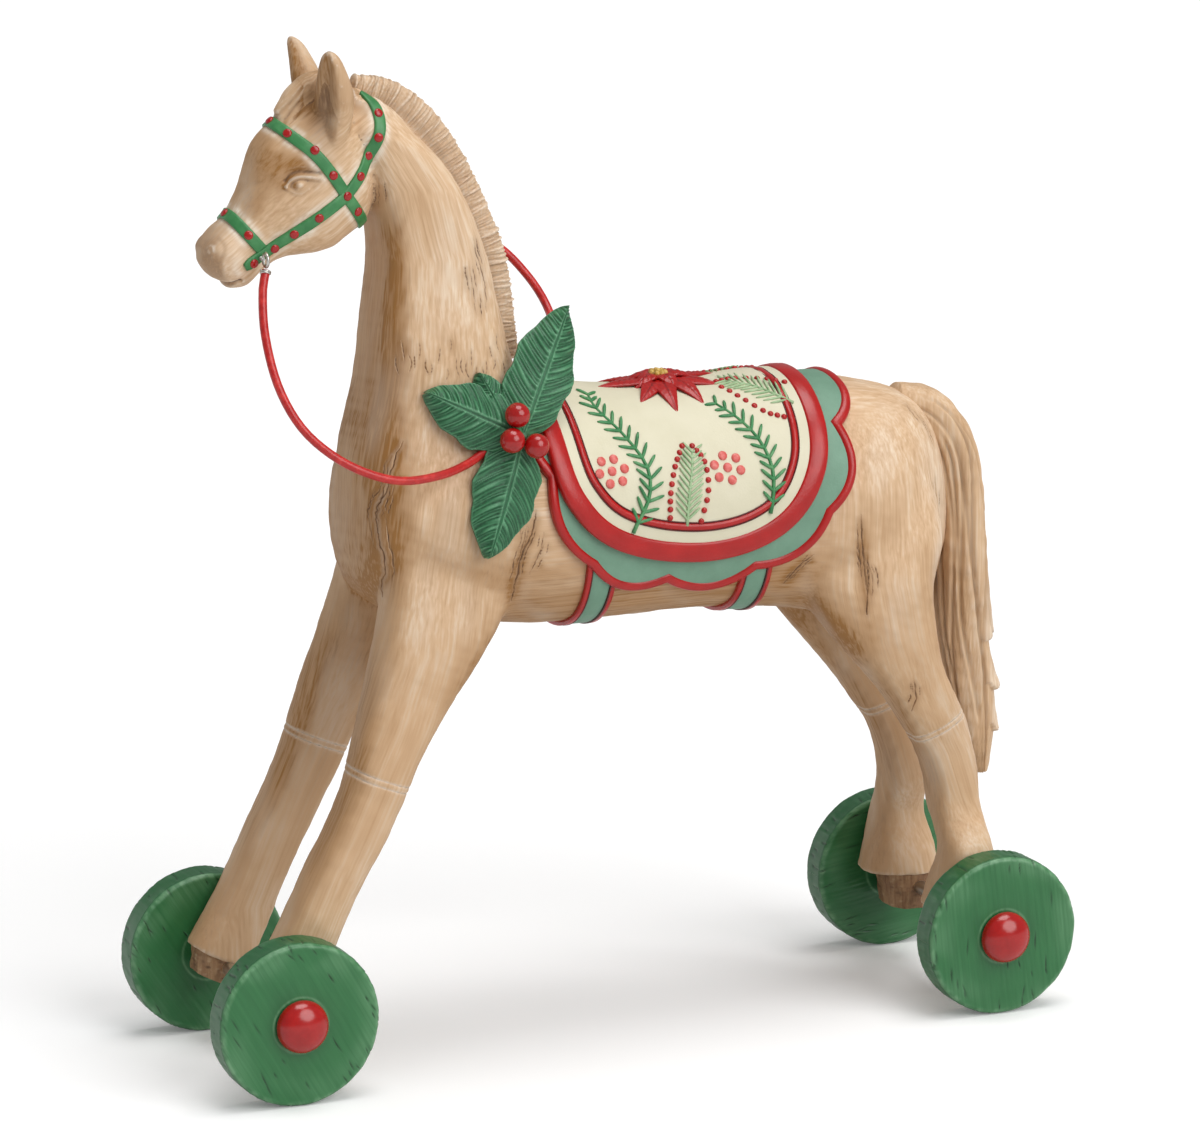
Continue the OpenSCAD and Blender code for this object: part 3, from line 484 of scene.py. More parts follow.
# Fir-green oil paint on raised work: a soft sheen, mottled by a small brush
fir_paint = painted("fir_green_paint", "#2b7040", "#37804b", "#5f9864", "#1f5531", "#9cc39a", 4, 0.45)
# Pale moss-green oil paint on raised work: nearly matt, mottled by a small brush
moss_paint = painted("moss_green_paint", "#86a578", "#9ab68b", "#b3c7a0", "#587a55", "#d2dcbc", 4, 0.5)
# Coral oil paint: a soft sheen, paler where the brush left it thin
coral_paint = painted("coral_paint", "#c64f49", "#d05f58", "#dd837a", "#a63a36", "#eeb9b0", 2.5, 0.42)
# Gilding paste, rubbed on thick: a dull gold without a mirror shine
gilding = painted("gilding_paste", "#a5812f", "#c09a45", "#d9bd6e", "#6a4d1c", "#ead79a", 2, 0.4)
# Oil paint in holly green: a dark wash in the veins and a pale dry-brushed rub on the ridges, with painted
# shade in the veins and painted highlights on the ridges
leaf_paint = painted("leaf_green_paint", "#296a41", "#32754b", "#408458", "#123c25", "#74aa85", 6, 0.42)
# Lacquered red beads: deep colour under a clear glossy coat
berry_lacquer = painted(
    "berry_red_lacquer", "#970c0b", "#a1100f", "#ab1714", "#5a090a", "#c83f39", 6, 0.2, coat=0.2, lift=0.00006
)
# Turned wood under worn green paint: a dull sheen along the grain, with dark checks and pale edges
wheel_paint = carved_wood(
    "worn_green_paint", "#246235", "#286839", "#2e6e3e", "#142c1a", "#6d9b73", "#1d5530", 0.38, 0.00018
)
# Dark red oil paint, a thin line that sets off the red bands
dark_seam = painted("dark_red_line", "#43100f", "#521513", "#661d1a", "#2a0808", "#7a2a26", 6, 0.5)
# Bright drawn steel wire: sharp glints, broken by fine marks drawn 0.8 mm wide so that they show
steel_wire, steel = finish_of("drawn_steel_wire", Base_Color=srgb("#c9c7c1"), Metallic=1.0, Roughness=0.28)
place = node(steel_wire, "ShaderNodeTexCoord").outputs["Object"]
drawn = node(steel_wire, "ShaderNodeTexNoise", [("Vector", place)], Scale=1000 / 0.8, Detail=2.0)
marked = node(steel_wire, "ShaderNodeBump", [("Height", drawn.outputs["Fac"])], Strength=0.3, Distance=0.0001)
steel_wire.node_tree.links.new(marked.outputs[0], steel.inputs["Normal"])
# Red cord in a glossy film wrap: a tight sheen broken by the wrap, drawn 0.9 mm wide so that it shows
cord_red = painted(
    "wrapped_red_cord", "#a61b1b", "#b5211f", "#c93530", "#5f0f10", "#df6a60", 3, 0.3, lift=0.0003
)

# The axles and the sprig's pin show as they are in the CAD part
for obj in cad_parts.values():
    obj.data.materials.clear()
    plain = leaf_paint if obj.name.startswith("holly_pin") else limewashed_wood
    obj.data.materials.append(steel_wire if obj.name.startswith("axle") else plain)


# Carved body

# Stations of the carved forms: x, y, z, tilt, half depth, half width, squareness and egg
TORSO = [
    [-160, 0, SPINE - 15, 90, 9, 6, 2, 0],
    [-156, 0, SPINE - 14, 90, 29, HALF_W - 31, 2.1, 0],
    [-147, 0, SPINE - 12, 90, 43.5, HALF_W - 20, 2.2, 0],
    [-131, 0, SPINE - 10, 90, 50.5, HALF_W - 7, 2.2, 0],
    [-105, 0, SPINE - 5, 90, 51, HALF_W, 2.2, -0.03],
    [-70, 0, SPINE - 2, 90, 48, HALF_W - 1, 2.2, -0.06],
    [-35, 0, SPINE - 1, 90, 46, HALF_W, 2.2, -0.06],
    [0, 0, SPINE - 1, 90, 46.5, HALF_W, 2.2, -0.06],
    [40, 0, SPINE + 3, 90, 49.5, HALF_W + 2, 2.2, -0.06],
    [72, 0, SPINE + 7, 90, 48, HALF_W + 2, 2.2, -0.06],
    [94, 0, SPINE + 7, 90, 44, HALF_W - 3, 2.3, 0],
    [106.5, 0, SPINE + 5, 90, 37, HALF_W - 9, 2.3, 0],
    [113.5, 0, SPINE + 3, 90, 26, HALF_W - 18, 2.2, 0],
    [116, 0, SPINE + 2, 90, 11, 12, 2, 0],
]
NECK = [
    [112, 0, SPINE + 178, 12, 10, 11, 2, 0],
    [105, 0, SPINE + 168, 10, 17, 18, 2.3, 0],
    [94, 0, SPINE + 156, 8, 19.5, 20, 2.7, 0],
    [84.5, 0, SPINE + 137, 4, 20.5, 21, 3.1, 0],
    [79, 0, SPINE + 114, 0, 23, 22, 3.3, 0],
    [78, 0, SPINE + 90, -9, 27, 25, 3.2, 0],
    [77.5, 0, SPINE + 66, -15, 32, 29, 2.9, 0],
    [77.5, 0, SPINE + 40, -22, 41.5, 35, 2.5, 0],
    [69, 0, SPINE + 8, -22, 49, 39, 2.3, 0],
]
HEAD = [
    [106, 0, SPINE + 165, 79, 16, 12, 2, 0],
    [115.5, 0, SPINE + 157.5, 71, 28, 18, 2.3, 0],
    [128, 0, SPINE + 150, 68, 29, 20, 2.3, -0.05],
    [138.4, 0, SPINE + 143.3, 66, 26.4, 19, 2.3, -0.1],
    [146.5, 0, SPINE + 135.5, 63, 20, 16, 2.4, -0.06],
    [153.5, 0, SPINE + 129, 61, 15.4, 13.5, 2.4, 0],
    [160, 0, SPINE + 122.5, 60, 13.8, 13, 2.3, 0],
    [166.5, 0, SPINE + 117.5, 60, 13.4, 13.5, 2.3, 0],
    [172, 0, SPINE + 114.6, 59, 10, 11.5, 2.2, 0],
    [175.4, 0, SPINE + 114, 58, 4.5, 6, 2, 0],
]
MANE = [
    [111, 0, SPINE + 184.5, -78, 5, 3.5, 2.4, 0],
    [97.5, 0, SPINE + 178.5, -60, 8.5, 5, 3, 0],
    [83.5, 0, SPINE + 167.5, -46, 9, 5.5, 3, 0],
    [72, 0, SPINE + 152, -35, 9, 5.5, 3, 0],
    [61.5, 0, SPINE + 131, -24, 9, 5.5, 3, 0],
    [53, 0, SPINE + 109, -15, 9, 5.5, 3, 0],
    [48.5, 0, SPINE + 86, -9, 8, 5.5, 3, 0],
    [46, 0, SPINE + 66, -9, 8, 5, 3, 0],
]
FORELOCK = [
    [119, 0, SPINE + 187, 80, 5, 4.5, 2, 0],
    [128, 0, SPINE + 185, 74, 6.5, 6.5, 2.4, 0],
    [136, 0, SPINE + 180.5, 62, 5.5, 6, 2.4, 0],
    [143, 0, SPINE + 174, 50, 3, 4, 2, 0],
]
TAIL = [
    [-136, 0, SPINE + 35, -66, 6, 7, 2.2, 0],
    [-150, 0, SPINE + 29, -50, 9.5, 12, 2.4, 0],
    [-161, 0, SPINE + 13, -26, 11, 15, 2.5, 0],
    [-166, 0, SPINE - 12, -9, 11, 15, 2.5, 0],
    [-167.5, 0, SPINE - 42, -4, 11.3, 15, 2.5, 0],
    [-169.5, 0, SPINE - 70, -5, 11.3, 12, 2.5, 0],
    [-174, 0, SPINE - 97, -8, 10, 9.5, 2.5, 0],
    [-178, 0, SPINE - 121, -8, 6.5, 7, 2.3, 0],
    [-180, 0, SPINE - 136, -7, 3, 4, 2, 0],
]
# A leg's row: drop from the hip, shares of the way to the foot ahead and aside, tilt, half depth and
# half width. An end: height over the axle, how far ahead, tilt, half depth, and what is trimmed off.
FRONT_ROWS = [
    [0, -0.03, -0.3, 4, 22, 11],
    [20, -0.02, -0.15, 6, 26, 13.5],
    [38, 0.02, 0, 8, 27.5, 15.8],
    [54, 0.1, 0.25, 11, 24.5, 16.2],
    [76, 0.25, 0.65, 18, 19, 15],
    [97, 0.385, 1.05, 24, 15, 13.6],
    [117, 0.48, 1.2, 27, 13, 12.8],
    [134, 0.58, 1.25, 28, 12.2, 12.4],
    [154, 0.715, 1.12, 28, 12, 12],
]
REAR_ROWS = [
    [0, 0, 0, -4, 30, 13],
    [22, 0.03, 0.2, -8, 34, 15.5],
    [38, 0.06, 0.35, -12, 34, 17],
    [52, 0.11, 0.45, -18, 28, 17.5],
    [65, 0.2, 0.55, -24, 22.5, 16.2],
    [78, 0.32, 0.65, -27, 18.2, 14.8],
    [90, 0.44, 0.6, -29, 14.8, 13.4],
    [107, 0.63, 0.4, -28, 13, 12.4],
    [119, 0.76, 0.2, -24, 12.2, 11.8],
    [135, 0.855, 0.2, -10, 11.4, 11.4],
    [151, 0.885, 0.36, -4, 10.8, 11.2],
]
FRONT_ENDS = [[26, -11.6, 28, 12.6, 1.5], [3, 1, 26, 14, 0]]
REAR_ENDS = [[33, 4.4, -2, 11.2, 4], [16, 4.2, 0, 15.4, 0.8], [6, 4.8, 2, 17.4, 0]]


LEG_SQUARE = 2.6


def leg_stations(hip, rows, ends, foot_x, foot_y, skirt):
    """Sections of a left leg: rows go down from the hip, ends are heights over the axle."""
    upper = []
    for drop, ahead, aside, tilt, deep, wide in rows:
        x = hip[0] + (foot_x - hip[0]) * ahead
        y = hip[1] + (foot_y - hip[1]) * aside
        upper.append([x, y, hip[2] - drop, tilt, deep, wide, LEG_SQUARE, 0])
    lower = []
    for height, ahead, tilt, deep, trim in ends:
        at = [foot_x + ahead, foot_y + trim / 2, AXLE_Z + height]
        lower.append([*at, tilt, deep, skirt / 2 - trim, LEG_SQUARE, 0])
    return upper + lower


FRONT_HIP, REAR_HIP = (80, HALF_W - 17, SPINE + 12), (-110, HALF_W - 21, SPINE + 8)
FRONT_LEG = leg_stations(FRONT_HIP, FRONT_ROWS, FRONT_ENDS, FRONT_X, foot_y=34.4, skirt=26)
REAR_LEG = leg_stations(REAR_HIP, REAR_ROWS, REAR_ENDS, -FRONT_X, foot_y=31.9, skirt=31)


def remeshed(shape, voxel):
    """One skin over overlapping closed shapes, as vertices and faces in millimetres."""
    rough = piece("rough", shape, limewashed_wood, outward=False)
    cast = rough.modifiers.new("cast", "REMESH")
    cast.mode = "VOXEL"
    cast.voxel_size = voxel * MM
    mesh = bpy.data.meshes.new_from_object(rough.evaluated_get(bpy.context.evaluated_depsgraph_get()))
    verts = points_of(mesh)
    faces = [tuple(p.vertices) for p in mesh.polygons]
    bpy.data.meshes.remove(mesh)
    old = rough.data
    bpy.data.objects.remove(rough)
    bpy.data.meshes.remove(old)
    return verts, faces


# An ear's row is how far ahead, height, half depth, half width and how deep it is hollowed
EAR_ROWS = [
    [3.8, 32.6, 0.8, 0.9, 0.2],
    [3.5, 31.2, 2.7, 2.8, 0.5],
    [3, 28, 4.7, 5, 0.85],
    [2.2, 22.5, 6.6, 7, 1.0],
    [1.2, 16, 8.2, 8.4, 1.0],
    [0.6, 9, 8.8, 8.9, 0.95],
    [0, 2, 7.8, 8.4, 0.75],
    [0, -7, 6.5, 8, 0.3],
]
EAR_ROOT = (125, 14, 172)
EAR_LEAN = math.radians(-16)
EAR_OPENS = math.radians(62)


def ear_rings(count=48):
    """The left ear, hollowed toward the front and the outside."""
    s = spline(EAR_ROWS, np.linspace(0, len(EAR_ROWS) - 1, 60))
    fore, height, deep, wide, hollow = (s[:, k : k + 1] for k in range(5))
    t = full_turn(count)[None]
    r = 1 - hollow * 0.85 * swell(turn_from(t, EAR_OPENS), 0.85)
    y, z = leaned(wide * r * np.cos(t), np.repeat(height, count, 1), EAR_LEAN)
    x = fore + deep * r * np.sin(t) + EAR_ROOT[0]
    return np.stack([x, y + EAR_ROOT[1], z + SPINE + EAR_ROOT[2]], -1)


ear = ring_mesh(ear_rings())
front_leg = ring_mesh(loft_rings(FRONT_LEG, 120, 64))
rear_leg = ring_mesh(loft_rings(REAR_LEG, 140, 64))
blocks = [
    ring_mesh(loft_rings(*form))
    for form in ((TORSO, 130, 96), (NECK, 96, 80), (HEAD, 110, 80), (FORELOCK, 40, 40))
]
for limb in (ear, front_leg, rear_leg):
    blocks += [limb, mirrored(limb)]
carved = piece("carved_body", remeshed(joined(blocks), voxel=1.0), limewashed_wood)
wear(
    carved, "horse", "carved_wood", "torso", "neck", "head", "forelock", "ear_left", "ear_right",
    "leg_front_left", "leg_front_right", "leg_rear_left", "leg_rear_right",
    "neck_dowels", "head_dowel", "leg_dowels", "tail_dowel",
)

# The knife leaves soft fillets where limbs meet the trunk, and closer ones elsewhere
co, pairs = points_of(carved.data), edges_of(carved.data)
soft = between(co[:, 2], 128, 150, 285, 315)
FILLET_ROUNDS, ALL_OVER = 46, 5
for k in range(FILLET_ROUNDS):
    hold = 1.0 if k < ALL_OVER else soft[:, None]
    co += 0.5 * hold * pull(co, pairs)
reshape(carved, co)


def surface_of(obj):
    """A piece's surface, to find places on."""
    mesh = obj.data
    return BVHTree.FromPolygons([v.co for v in mesh.vertices], [tuple(p.vertices) for p in mesh.polygons])


skin = surface_of(carved)


def cast(x, z, side=1):
    """The carved surface at a place in the side view, as a point and its outward direction."""
    spot, way, _, _ = skin.ray_cast(Vector((x * MM, side * 0.2, z * MM)), Vector((0, -side, 0)))
    if spot is None:
        return None, None
    way = way if way.y * side > 0 else -way
    return np.array(spot) / MM, np.array(way)


def lying(line, step, side=1):
    """A side-view line of x and z laid on the carved surface."""
    spots = [cast(x, z, side)[0] for x, z in curve_through(line, step)]
    return np.array([p for p in spots if p is not None])


# Checks and gouges in the wood: line in the side view, half width, depth, chalk beside it
CHECKS = [
    ([[101, 268], [105, 258], [108, 248], [111, 238], [110, 228], [107, 214], [107, 203]], 0.55, 1.1, 0.9),
    ([[105, 262], [109, 250], [112, 240], [112, 231]], 0.35, 0.6, 0.8),
    ([[48, 238], [50, 229], [54, 219], [56, 208], [57, 198]], 0.6, 1.2, 0.2),
    ([[52, 232], [55, 224], [58, 213]], 0.4, 0.7, 0.2),
    ([[45, 228], [46, 219], [49, 210]], 0.4, 0.7, 0.1),
    ([[65, 349], [63, 338], [61, 329], [61, 318]], 0.45, 0.8, 0.1),
    ([[68, 338], [66.5, 326], [66, 316]], 0.3, 0.5, 0.1),
    ([[-80, 206], [-74, 201], [-69, 193]], 0.55, 1.0, 0.1),
    ([[-76, 200], [-71, 194]], 0.4, 0.7, 0.1),
    ([[-101, 222], [-102, 211], [-104, 198], [-105, 188], [-105, 178]], 0.6, 1.2, 0.1),
    ([[-104, 205], [-107, 193], [-107, 183]], 0.35, 0.6, 0.1),
    ([[-145, 231], [-145, 221], [-143, 214]], 0.5, 0.9, 0.2),
    ([[-127, 147], [-128, 140], [-128, 132]], 0.5, 0.9, 0.1),
    ([[-136, 262], [-143, 251], [-147, 242]], 0.35, 0.5, 0.1),
    ([[105.5, 376], [104.6, 369], [104, 362]], 0.3, 0.4, 0.1),
]
EYE = np.array([140.6, 375.7])
LID = curve_through([[145.8, 375.2], [144.2, 377.6], [141, 379], [137, 378.8], [132.4, 378]], 0.4)
FOLD = LID + [0.2, 2.4]
UNDER = curve_through([[145.6, 374.6], [143, 372.6], [140, 372.2], [137, 373.8]], 0.4)
MOUTH = curve_through([[176, 337.6], [172, 335.2], [168, 334.8], [164, 336.2]], 0.4)

BROW_SHADE, EYE_CORNER, LIP = [141, 383.5], [147, 376], [168, 331.5]
FOREHEAD, JAW, NOSE_TIP, NOSTRIL = [154, 0, 386], [127, 11, 350], [176, 0, 343], [175.2, 8.4, 349.6]
EAR_AXIS, EAR_FOOT = [126.5, 20], [131, 14, 401]
CREST = np.array([[112, 6, 405], [104, 7.5, 401], [94, 8.5, 391], [84, 9, 377]])
ON_LINE = 0.4

# Every check and gouge as a line on the carved surface, with its half width, depth and chalk
lines = []
for side in (1, -1):
    for k, (line, width, depth, white) in enumerate(CHECKS):
        dice = np.random.default_rng(100 + k + (50 if side < 0 else 0))
        line = np.array(line, float) + (dice.normal(0, 2.2, 2) if side < 0 else 0)
        fine = curve_through(line, 1.0)
        fine += np.cumsum(dice.normal(0, 0.16, fine.shape), 0) * [1, 0.3]
        lines.append((lying(fine, ON_LINE, side), width * 0.65, depth * 0.42, 0.1 * white))
        # Finer gouges lie beside each one
        size = len(fine)
        for _ in range(2 if size < 12 else 4):
            begin = int(dice.uniform(0, 0.6) * size)
            end = begin + max(5, int(dice.uniform(0.2, 0.5) * size))
            aside = dice.choice([-1, 1]) * dice.uniform(0.9, 2.8)
            gouge = fine[begin:end] + [aside, dice.normal(0, 1)]
            if len(gouge) > 3:
                laid = lying(gouge, ON_LINE, side)
                lines.append((laid, dice.uniform(0.2, 0.3), dice.uniform(0.15, 0.35), 0))
    # A row of short thin cuts crosses the foot of the neck
    dice = np.random.default_rng(170 + side)
    for at in np.arange(50, 101, 2.2):
        low, long = 296 - 0.1 * (at - 50) + dice.normal(0, 4.5), dice.uniform(4, 9)
        cut = [[at + dice.normal(0, 0.8), low], [at + dice.normal(0, 0.5), low + long / 2], [at, low + long]]
        lines.append((lying(cut, ON_LINE, side), dice.uniform(0.2, 0.3), dice.uniform(0.15, 0.32), 0))
lines = [row for row in lines if len(row[0]) > 4]


def band_gap(co):
    """Distance from the nearer of two lines scribed round each leg, one 2.9 mm under the other."""
    x, _, z = co.T
    over_front = (z - 132.1) - 0.415 * (x - 122)
    over_rear = (z - 121.6) + 0.5 * (x + 140.6)
    over = np.where(x > 0, over_front, over_rear)
    gap = np.minimum(abs(over), abs(over + 2.9))
    return np.where((z < 150) & (abs(x) > 85), gap * 0.91, FAR)


# The face, the bands and the checks need finer faces than the rest, and the eyes finer still
for band_reach, line_reach, eyes_only in ((2.5, 3.0, False), (1.2, 1.7, True)):
    co = points_of(carved.data)
    x, y, z = co.T
    wanted = (x > 109) & (z > 328)
    if eyes_only:
        wanted &= (np.hypot(x - EYE[0], z - EYE[1]) < 10) & (abs(y) > 9)
    wanted |= band_gap(co) < band_reach
    for line, *_ in lines:
        near, _, _ = close_to(co, line, line_reach)
        wanted[near] = True
    work = bmesh.new()
    work.from_mesh(carved.data)
    work.verts.ensure_lookup_table()
    split = [e for e in work.edges if wanted[e.verts[0].index] and wanted[e.verts[1].index]]
    bmesh.ops.subdivide_edges(work, edges=split, cuts=1, use_grid_fill=True)
    work.to_mesh(carved.data)
    work.free()
carved.data.polygons.foreach_set("use_smooth", [True] * len(carved.data.polygons))
carved.data.update()

co, way = points_of(carved.data), normals_of(carved.data)
x, y, z = co.T
ahead, leftward, upward = way.T
flat = co[:, [0, 2]]
rise = 0.22 * ripple(co, 13, 3) + 0.1 * ripple(co, 6, 4)
stain, chalk, blush, gouged = np.zeros((4, len(co)))


def along_face(line, reach):
    """Distance in the side view from a line on the head."""
    gap = np.full(len(co), FAR)
    near, _, away = close_to(flat, line, reach)
    sided = (z[near] > 325) & (x[near] > 108)
    gap[near[sided]] = away[sided]
    return gap


def from_side(place, tall=1):
    """Distance in the side view from a place, with heights stretched."""
    return np.hypot(x - place[0], (z - place[1]) * tall)


def from_place(place, side=1, stretch=1):
    """Distance from a place on the left or the right, with each way stretched."""
    return np.linalg.norm((co - np.array(place) * [1, side, 1]) * stretch, axis=1)


# Eyes: a ball in its socket, two lids and a fold over them
beside = abs(y) > 9
from_eye = np.where(beside & (z > 350), from_side(EYE), FAR)
lid, fold, under = (np.where(beside, along_face(line, 9), FAR) for line in (LID, FOLD, UNDER))
rise += -1.5 * swell(from_eye, 5.5) + 2.3 * swell(from_eye, 2.7)
rise += 1.3 * swell(lid, 1.0) - 0.7 * swell(fold, 1.2) + 0.35 * swell(under, 0.9)
stain += 0.12 * swell(from_eye - 3.2, 1.0) * (from_eye < 6)
# Painted shade in the fold over the lid and along the lid, and in the hollow of the brow over the eye
stain += 0.18 * swell(fold, 1.2) + 0.18 * swell(lid + 1.2, 0.8)
blush += 0.95 * swell(from_side(BROW_SHADE, 1.5), 8.5) * (x > 100) * (z > 340)
blush += 0.5 * swell(from_side(EYE_CORNER), 4) * (x > 100)

# Forehead, jaw, mouth, lip and nose
rise += 2.6 * swell(from_place(FOREHEAD, stretch=[1, 0.8, 0.85]), 11)
for side in (1, -1):
    rise += 1.6 * swell(from_place(JAW, side), 11)
mouth = along_face(MOUTH, 6)
rise -= 1.5 * swell(mouth, 1.0)
stain += 0.4 * swell(mouth, 0.9)
rise += 0.9 * swell(from_side(LIP), 2.6) * (x > 150)
rise += 0.8 * swell(from_place(NOSE_TIP), 7)
for side in (1, -1):
    nostril = from_place(NOSTRIL, side)
    rise += 0.8 * swell(nostril, 3.4) - 0.12 * swell(nostril - 4.8, 1.2)
    blush += 0.2 * swell(nostril - 3.4, 1.4)
    chalk += 0.3 * swell(nostril - 1.0, 1.4) * ramp(ripple(co, 2.5, 77), -0.2, 0.6)

# Tooled locks of the forelock run fore and aft, and three cuts cross the brow
tuft = ramp(z, 401, 406) * (x > 112) * (1 - ramp(x, 133, 138)) * (1 - ramp(abs(y), 7, 9.5))
wave = 0.5 + 0.5 * np.cos(TAU * (y + 0.9 * np.sin(x / 4.5) + 0.4 * np.sin(x * 1.1)) / 1.35)
rise -= 0.2 * tuft * wave**2
stain += 0.12 * tuft * wave**2
blush += 0.5 * tuft
brow_cut = np.full(len(co), FAR)
for shift in (0, 2.4, 4.4):
    off = abs((x - 140.5) * 0.75 + (z - 402.8) * 0.66 + shift - 2.2)
    brow_cut = np.minimum(brow_cut, np.where((x > 134) & (z > 397) & (y < 9), off, FAR))
rise -= 0.35 * swell(brow_cut, 0.5)
stain += 0.08 * swell(brow_cut, 0.5)
blush += 0.4 * swell(brow_cut, 1.5)

# The crest of the neck stands up beside the mane's root at the poll
for side in (1, -1):
    crest = curve_through(CREST * [1, side, 1], 0.5)
    near, spot, gap = close_to(co, crest, 14)
    rise[near] += 4.6 * swell(gap, 6.5) * (1 - ramp(spot / (len(crest) - 1), 0.35, 1))

# The ears are browned all over, with painted shade in their hollows, on the faces they turn forward and at
# their roots
for side in (1, -1):
    aside = y * side > 7
    outward = leftward * side
    hollow = (z > 398) & aside & (ahead * 0.64 + outward * 0.77 > 0.2)
    inward = ((x - EAR_AXIS[0]) * ahead + (y - side * EAR_AXIS[1]) * leftward) < 1.2
    deep = (hollow & inward) * ramp(z, 398, 412)
    stain += 0.45 * deep
    blush += 0.8 * deep
    fore = ramp(ahead * 0.9 - outward * 0.3, -0.1, 0.6) * ramp(z, 401, 408) * aside
    blush += (0.25 * ramp(z, 403, 409) * aside + 0.55 * fore) * (x > 112)
    root = from_place(EAR_FOOT, side, [1, 1, 0.7])
    blush += 0.7 * swell(root, 7)
    stain += 0.25 * swell(root, 6)

# Scribed bands, then the checks and gouges with brown round them
band = band_gap(co)
rise -= 0.22 * swell(band, 0.5)
chalk += 0.55 * swell(band, 0.4)
for line, width, depth, white in lines:
    near, spot, gap = close_to(co, line, 6.0)
    share = spot / (len(line) - 1)
    arch = np.sin(np.pi * share)
    deep = depth > 0.4
    soft = (0.75 if deep else depth) * swell(gap, 3.0 if deep else 1.8) * arch**0.5
    blush[near] = np.maximum(blush[near], soft)
    gouged[near] = np.maximum(gouged[near], swell(gap, 1.6))
    lens = width * (0.35 + 0.65 * arch**0.7) * (1 + 0.3 * np.sin(share * 23 + depth * 9))
    rise[near] -= depth * swell(gap, lens)
    stain[near] += 0.42 * swell(gap, lens * 0.9) + (0.12 if deep else 0.04) * swell(gap, 1.6)
    chalk[near] += white * swell(gap - lens - 0.7, 0.6)

# Where the carved surface bends in it is darker and where it bends out it is paler: painted shade in the
# hollows and painted light on the ridges, added to the wash and chalk
co += way * rise[:, None]
reshape(carved, co)
pairs = edges_of(carved.data)
way = normals_of(carved.data)
ahead, leftward, upward = way.T
span = np.linalg.norm(co[pairs[:, 0]] - co[pairs[:, 1]], axis=1)
mean = np.bincount(pairs.ravel(), np.repeat(span, 2)) / np.maximum(np.bincount(pairs.ravel()), 1)
bend = (pull(co, pairs) * way).sum(1)[:, None] / (mean**2)[:, None]
for _ in range(3):
    bend += 0.6 * pull(bend, pairs)
bend = bend[:, 0]
stain += 0.5 * ramp(bend, 0.05, 0.3)
chalk += 0.3 * ramp(-bend, 0.05, 0.25) * (1 - gouged)

# Painted shade in brown on the faces turned forward: the throat, the chest and the front of the face, held
# back where a face points straight ahead, which is painted lighter
front_shade = ramp(ahead, 0.3, 0.7) * (1 - 0.4 * ramp(ahead, 0.93, 0.995))
blush += 0.92 * front_shade * ramp(x, 70, 95) * between(z, 180, 230, 345, 375)
blush += 0.5 * front_shade * between(x, 110, 125, 158, 166) * between(z, 330, 350, 395, 402)
# A chalky rub low on the muzzle
chalk += 0.14 * ramp(x, 158, 172) * ramp(z, 320, 330)
# Painted shade on the legs, most on the faces turned forward and on their inner sides, and low on their
# fronts
legs = 1 - ramp(z, 160, 215)
shaded = 0.24 + 0.48 * ramp(ahead, 0.35, 0.85) + 0.14 * ramp(-leftward * np.sign(y), 0, 0.7)
blush += legs * shaded * (0.45 + 0.55 * ramp(z, 60, 115))
blush += 0.14 * ramp(ahead, -0.2, 0.6) * (1 - ramp(z, 50, 85))
# Painted shade on the faces turned down, under the belly
blush += 0.62 * ramp(-upward, -0.15, 0.5) * between(z, 150, 175, 225, 245)
# Chalk lies in broad uneven patches
chalk += 0.16 * ramp(ripple(co * [1, 1, 0.3], 20, 9), 0, 1.2)
# Painted light on the back of the rump, on the faces turned backward
chalk += 0.16 * ramp(-ahead, 0.3, 0.8) * (x < -110) * ramp(z, 185, 205)

# Grain runs up the limbs and the neck, along the barrel and down the head. The middle lines of the
# fore and hind parts are heights with how far ahead they are.
FORE_LINE = [
    (60, 149), (90, 136), (120, 122), (150, 108), (180, 97), (240, 88),
    (270, 84), (300, 80), (340, 79), (370, 86), (400, 104),
]
HIND_LINE = [(40, -161), (80, -153), (110, -143), (140, -128), (165, -119), (190, -114), (240, -114)]
HEAD_DOWN, HEAD_OUT = np.array([0.805, 0, -0.594]), np.array([0.594, 0, 0.805])
fore, hind = (np.interp(z, *np.transpose(line)) for line in (FORE_LINE, HIND_LINE))
grain = np.stack([x - np.where(x > -30, fore, hind), y, z], 1)
croup = ramp(upward, 0.5, 0.85) * (x < -60) * (z > 205)
is_head = ramp(x, 104, 109) * ramp(z, 322, 330)
is_head *= 1 - ramp(z, 402, 408) * ramp(abs(y), 7, 10)
barrel = between(x, -98, -72, 46, 72) * (1 - ramp(z, 262, 285))
head_grain = np.stack([co @ HEAD_OUT, y, co @ HEAD_DOWN], 1)
values(
    carved,
    grain=grain,
    grain_across=np.where(is_head[:, None] > 0.01, head_grain, co[:, ::-1]),
    across=np.maximum(np.maximum(is_head, barrel), croup),
    stain=np.clip(stain, 0, 1),
    chalk=np.clip(chalk, 0, 1),
    blush=np.clip(blush, 0, 1),
)

# Mane, tail and hooves


def locks_across(run, depth_share, seed, length):
    """Heights of a row of tooled locks along a ridge, with dark cuts between them."""
    dice = np.random.default_rng(seed)
    lift, cut = np.zeros(run.shape), np.zeros(run.shape)
    at = -3.0
    while at < length + 3:
        step = dice.uniform(0.7, 1.6)
        lean = dice.uniform(-0.3, 0.1)
        here = run + lean * depth_share
        share = (here - at) / step
        inside = (share > 0) & (share < 1)
        lift[inside] += dice.uniform(-0.2, 0.3) + 0.2 * np.sin(np.pi * share[inside]) ** 0.6
        groove = dice.uniform(0.15, 0.6) * swell(here - at, dice.uniform(0.25, 0.4))
        lift -= groove
        cut = np.maximum(cut, groove / 1.5)
        at += step
    return lift, cut


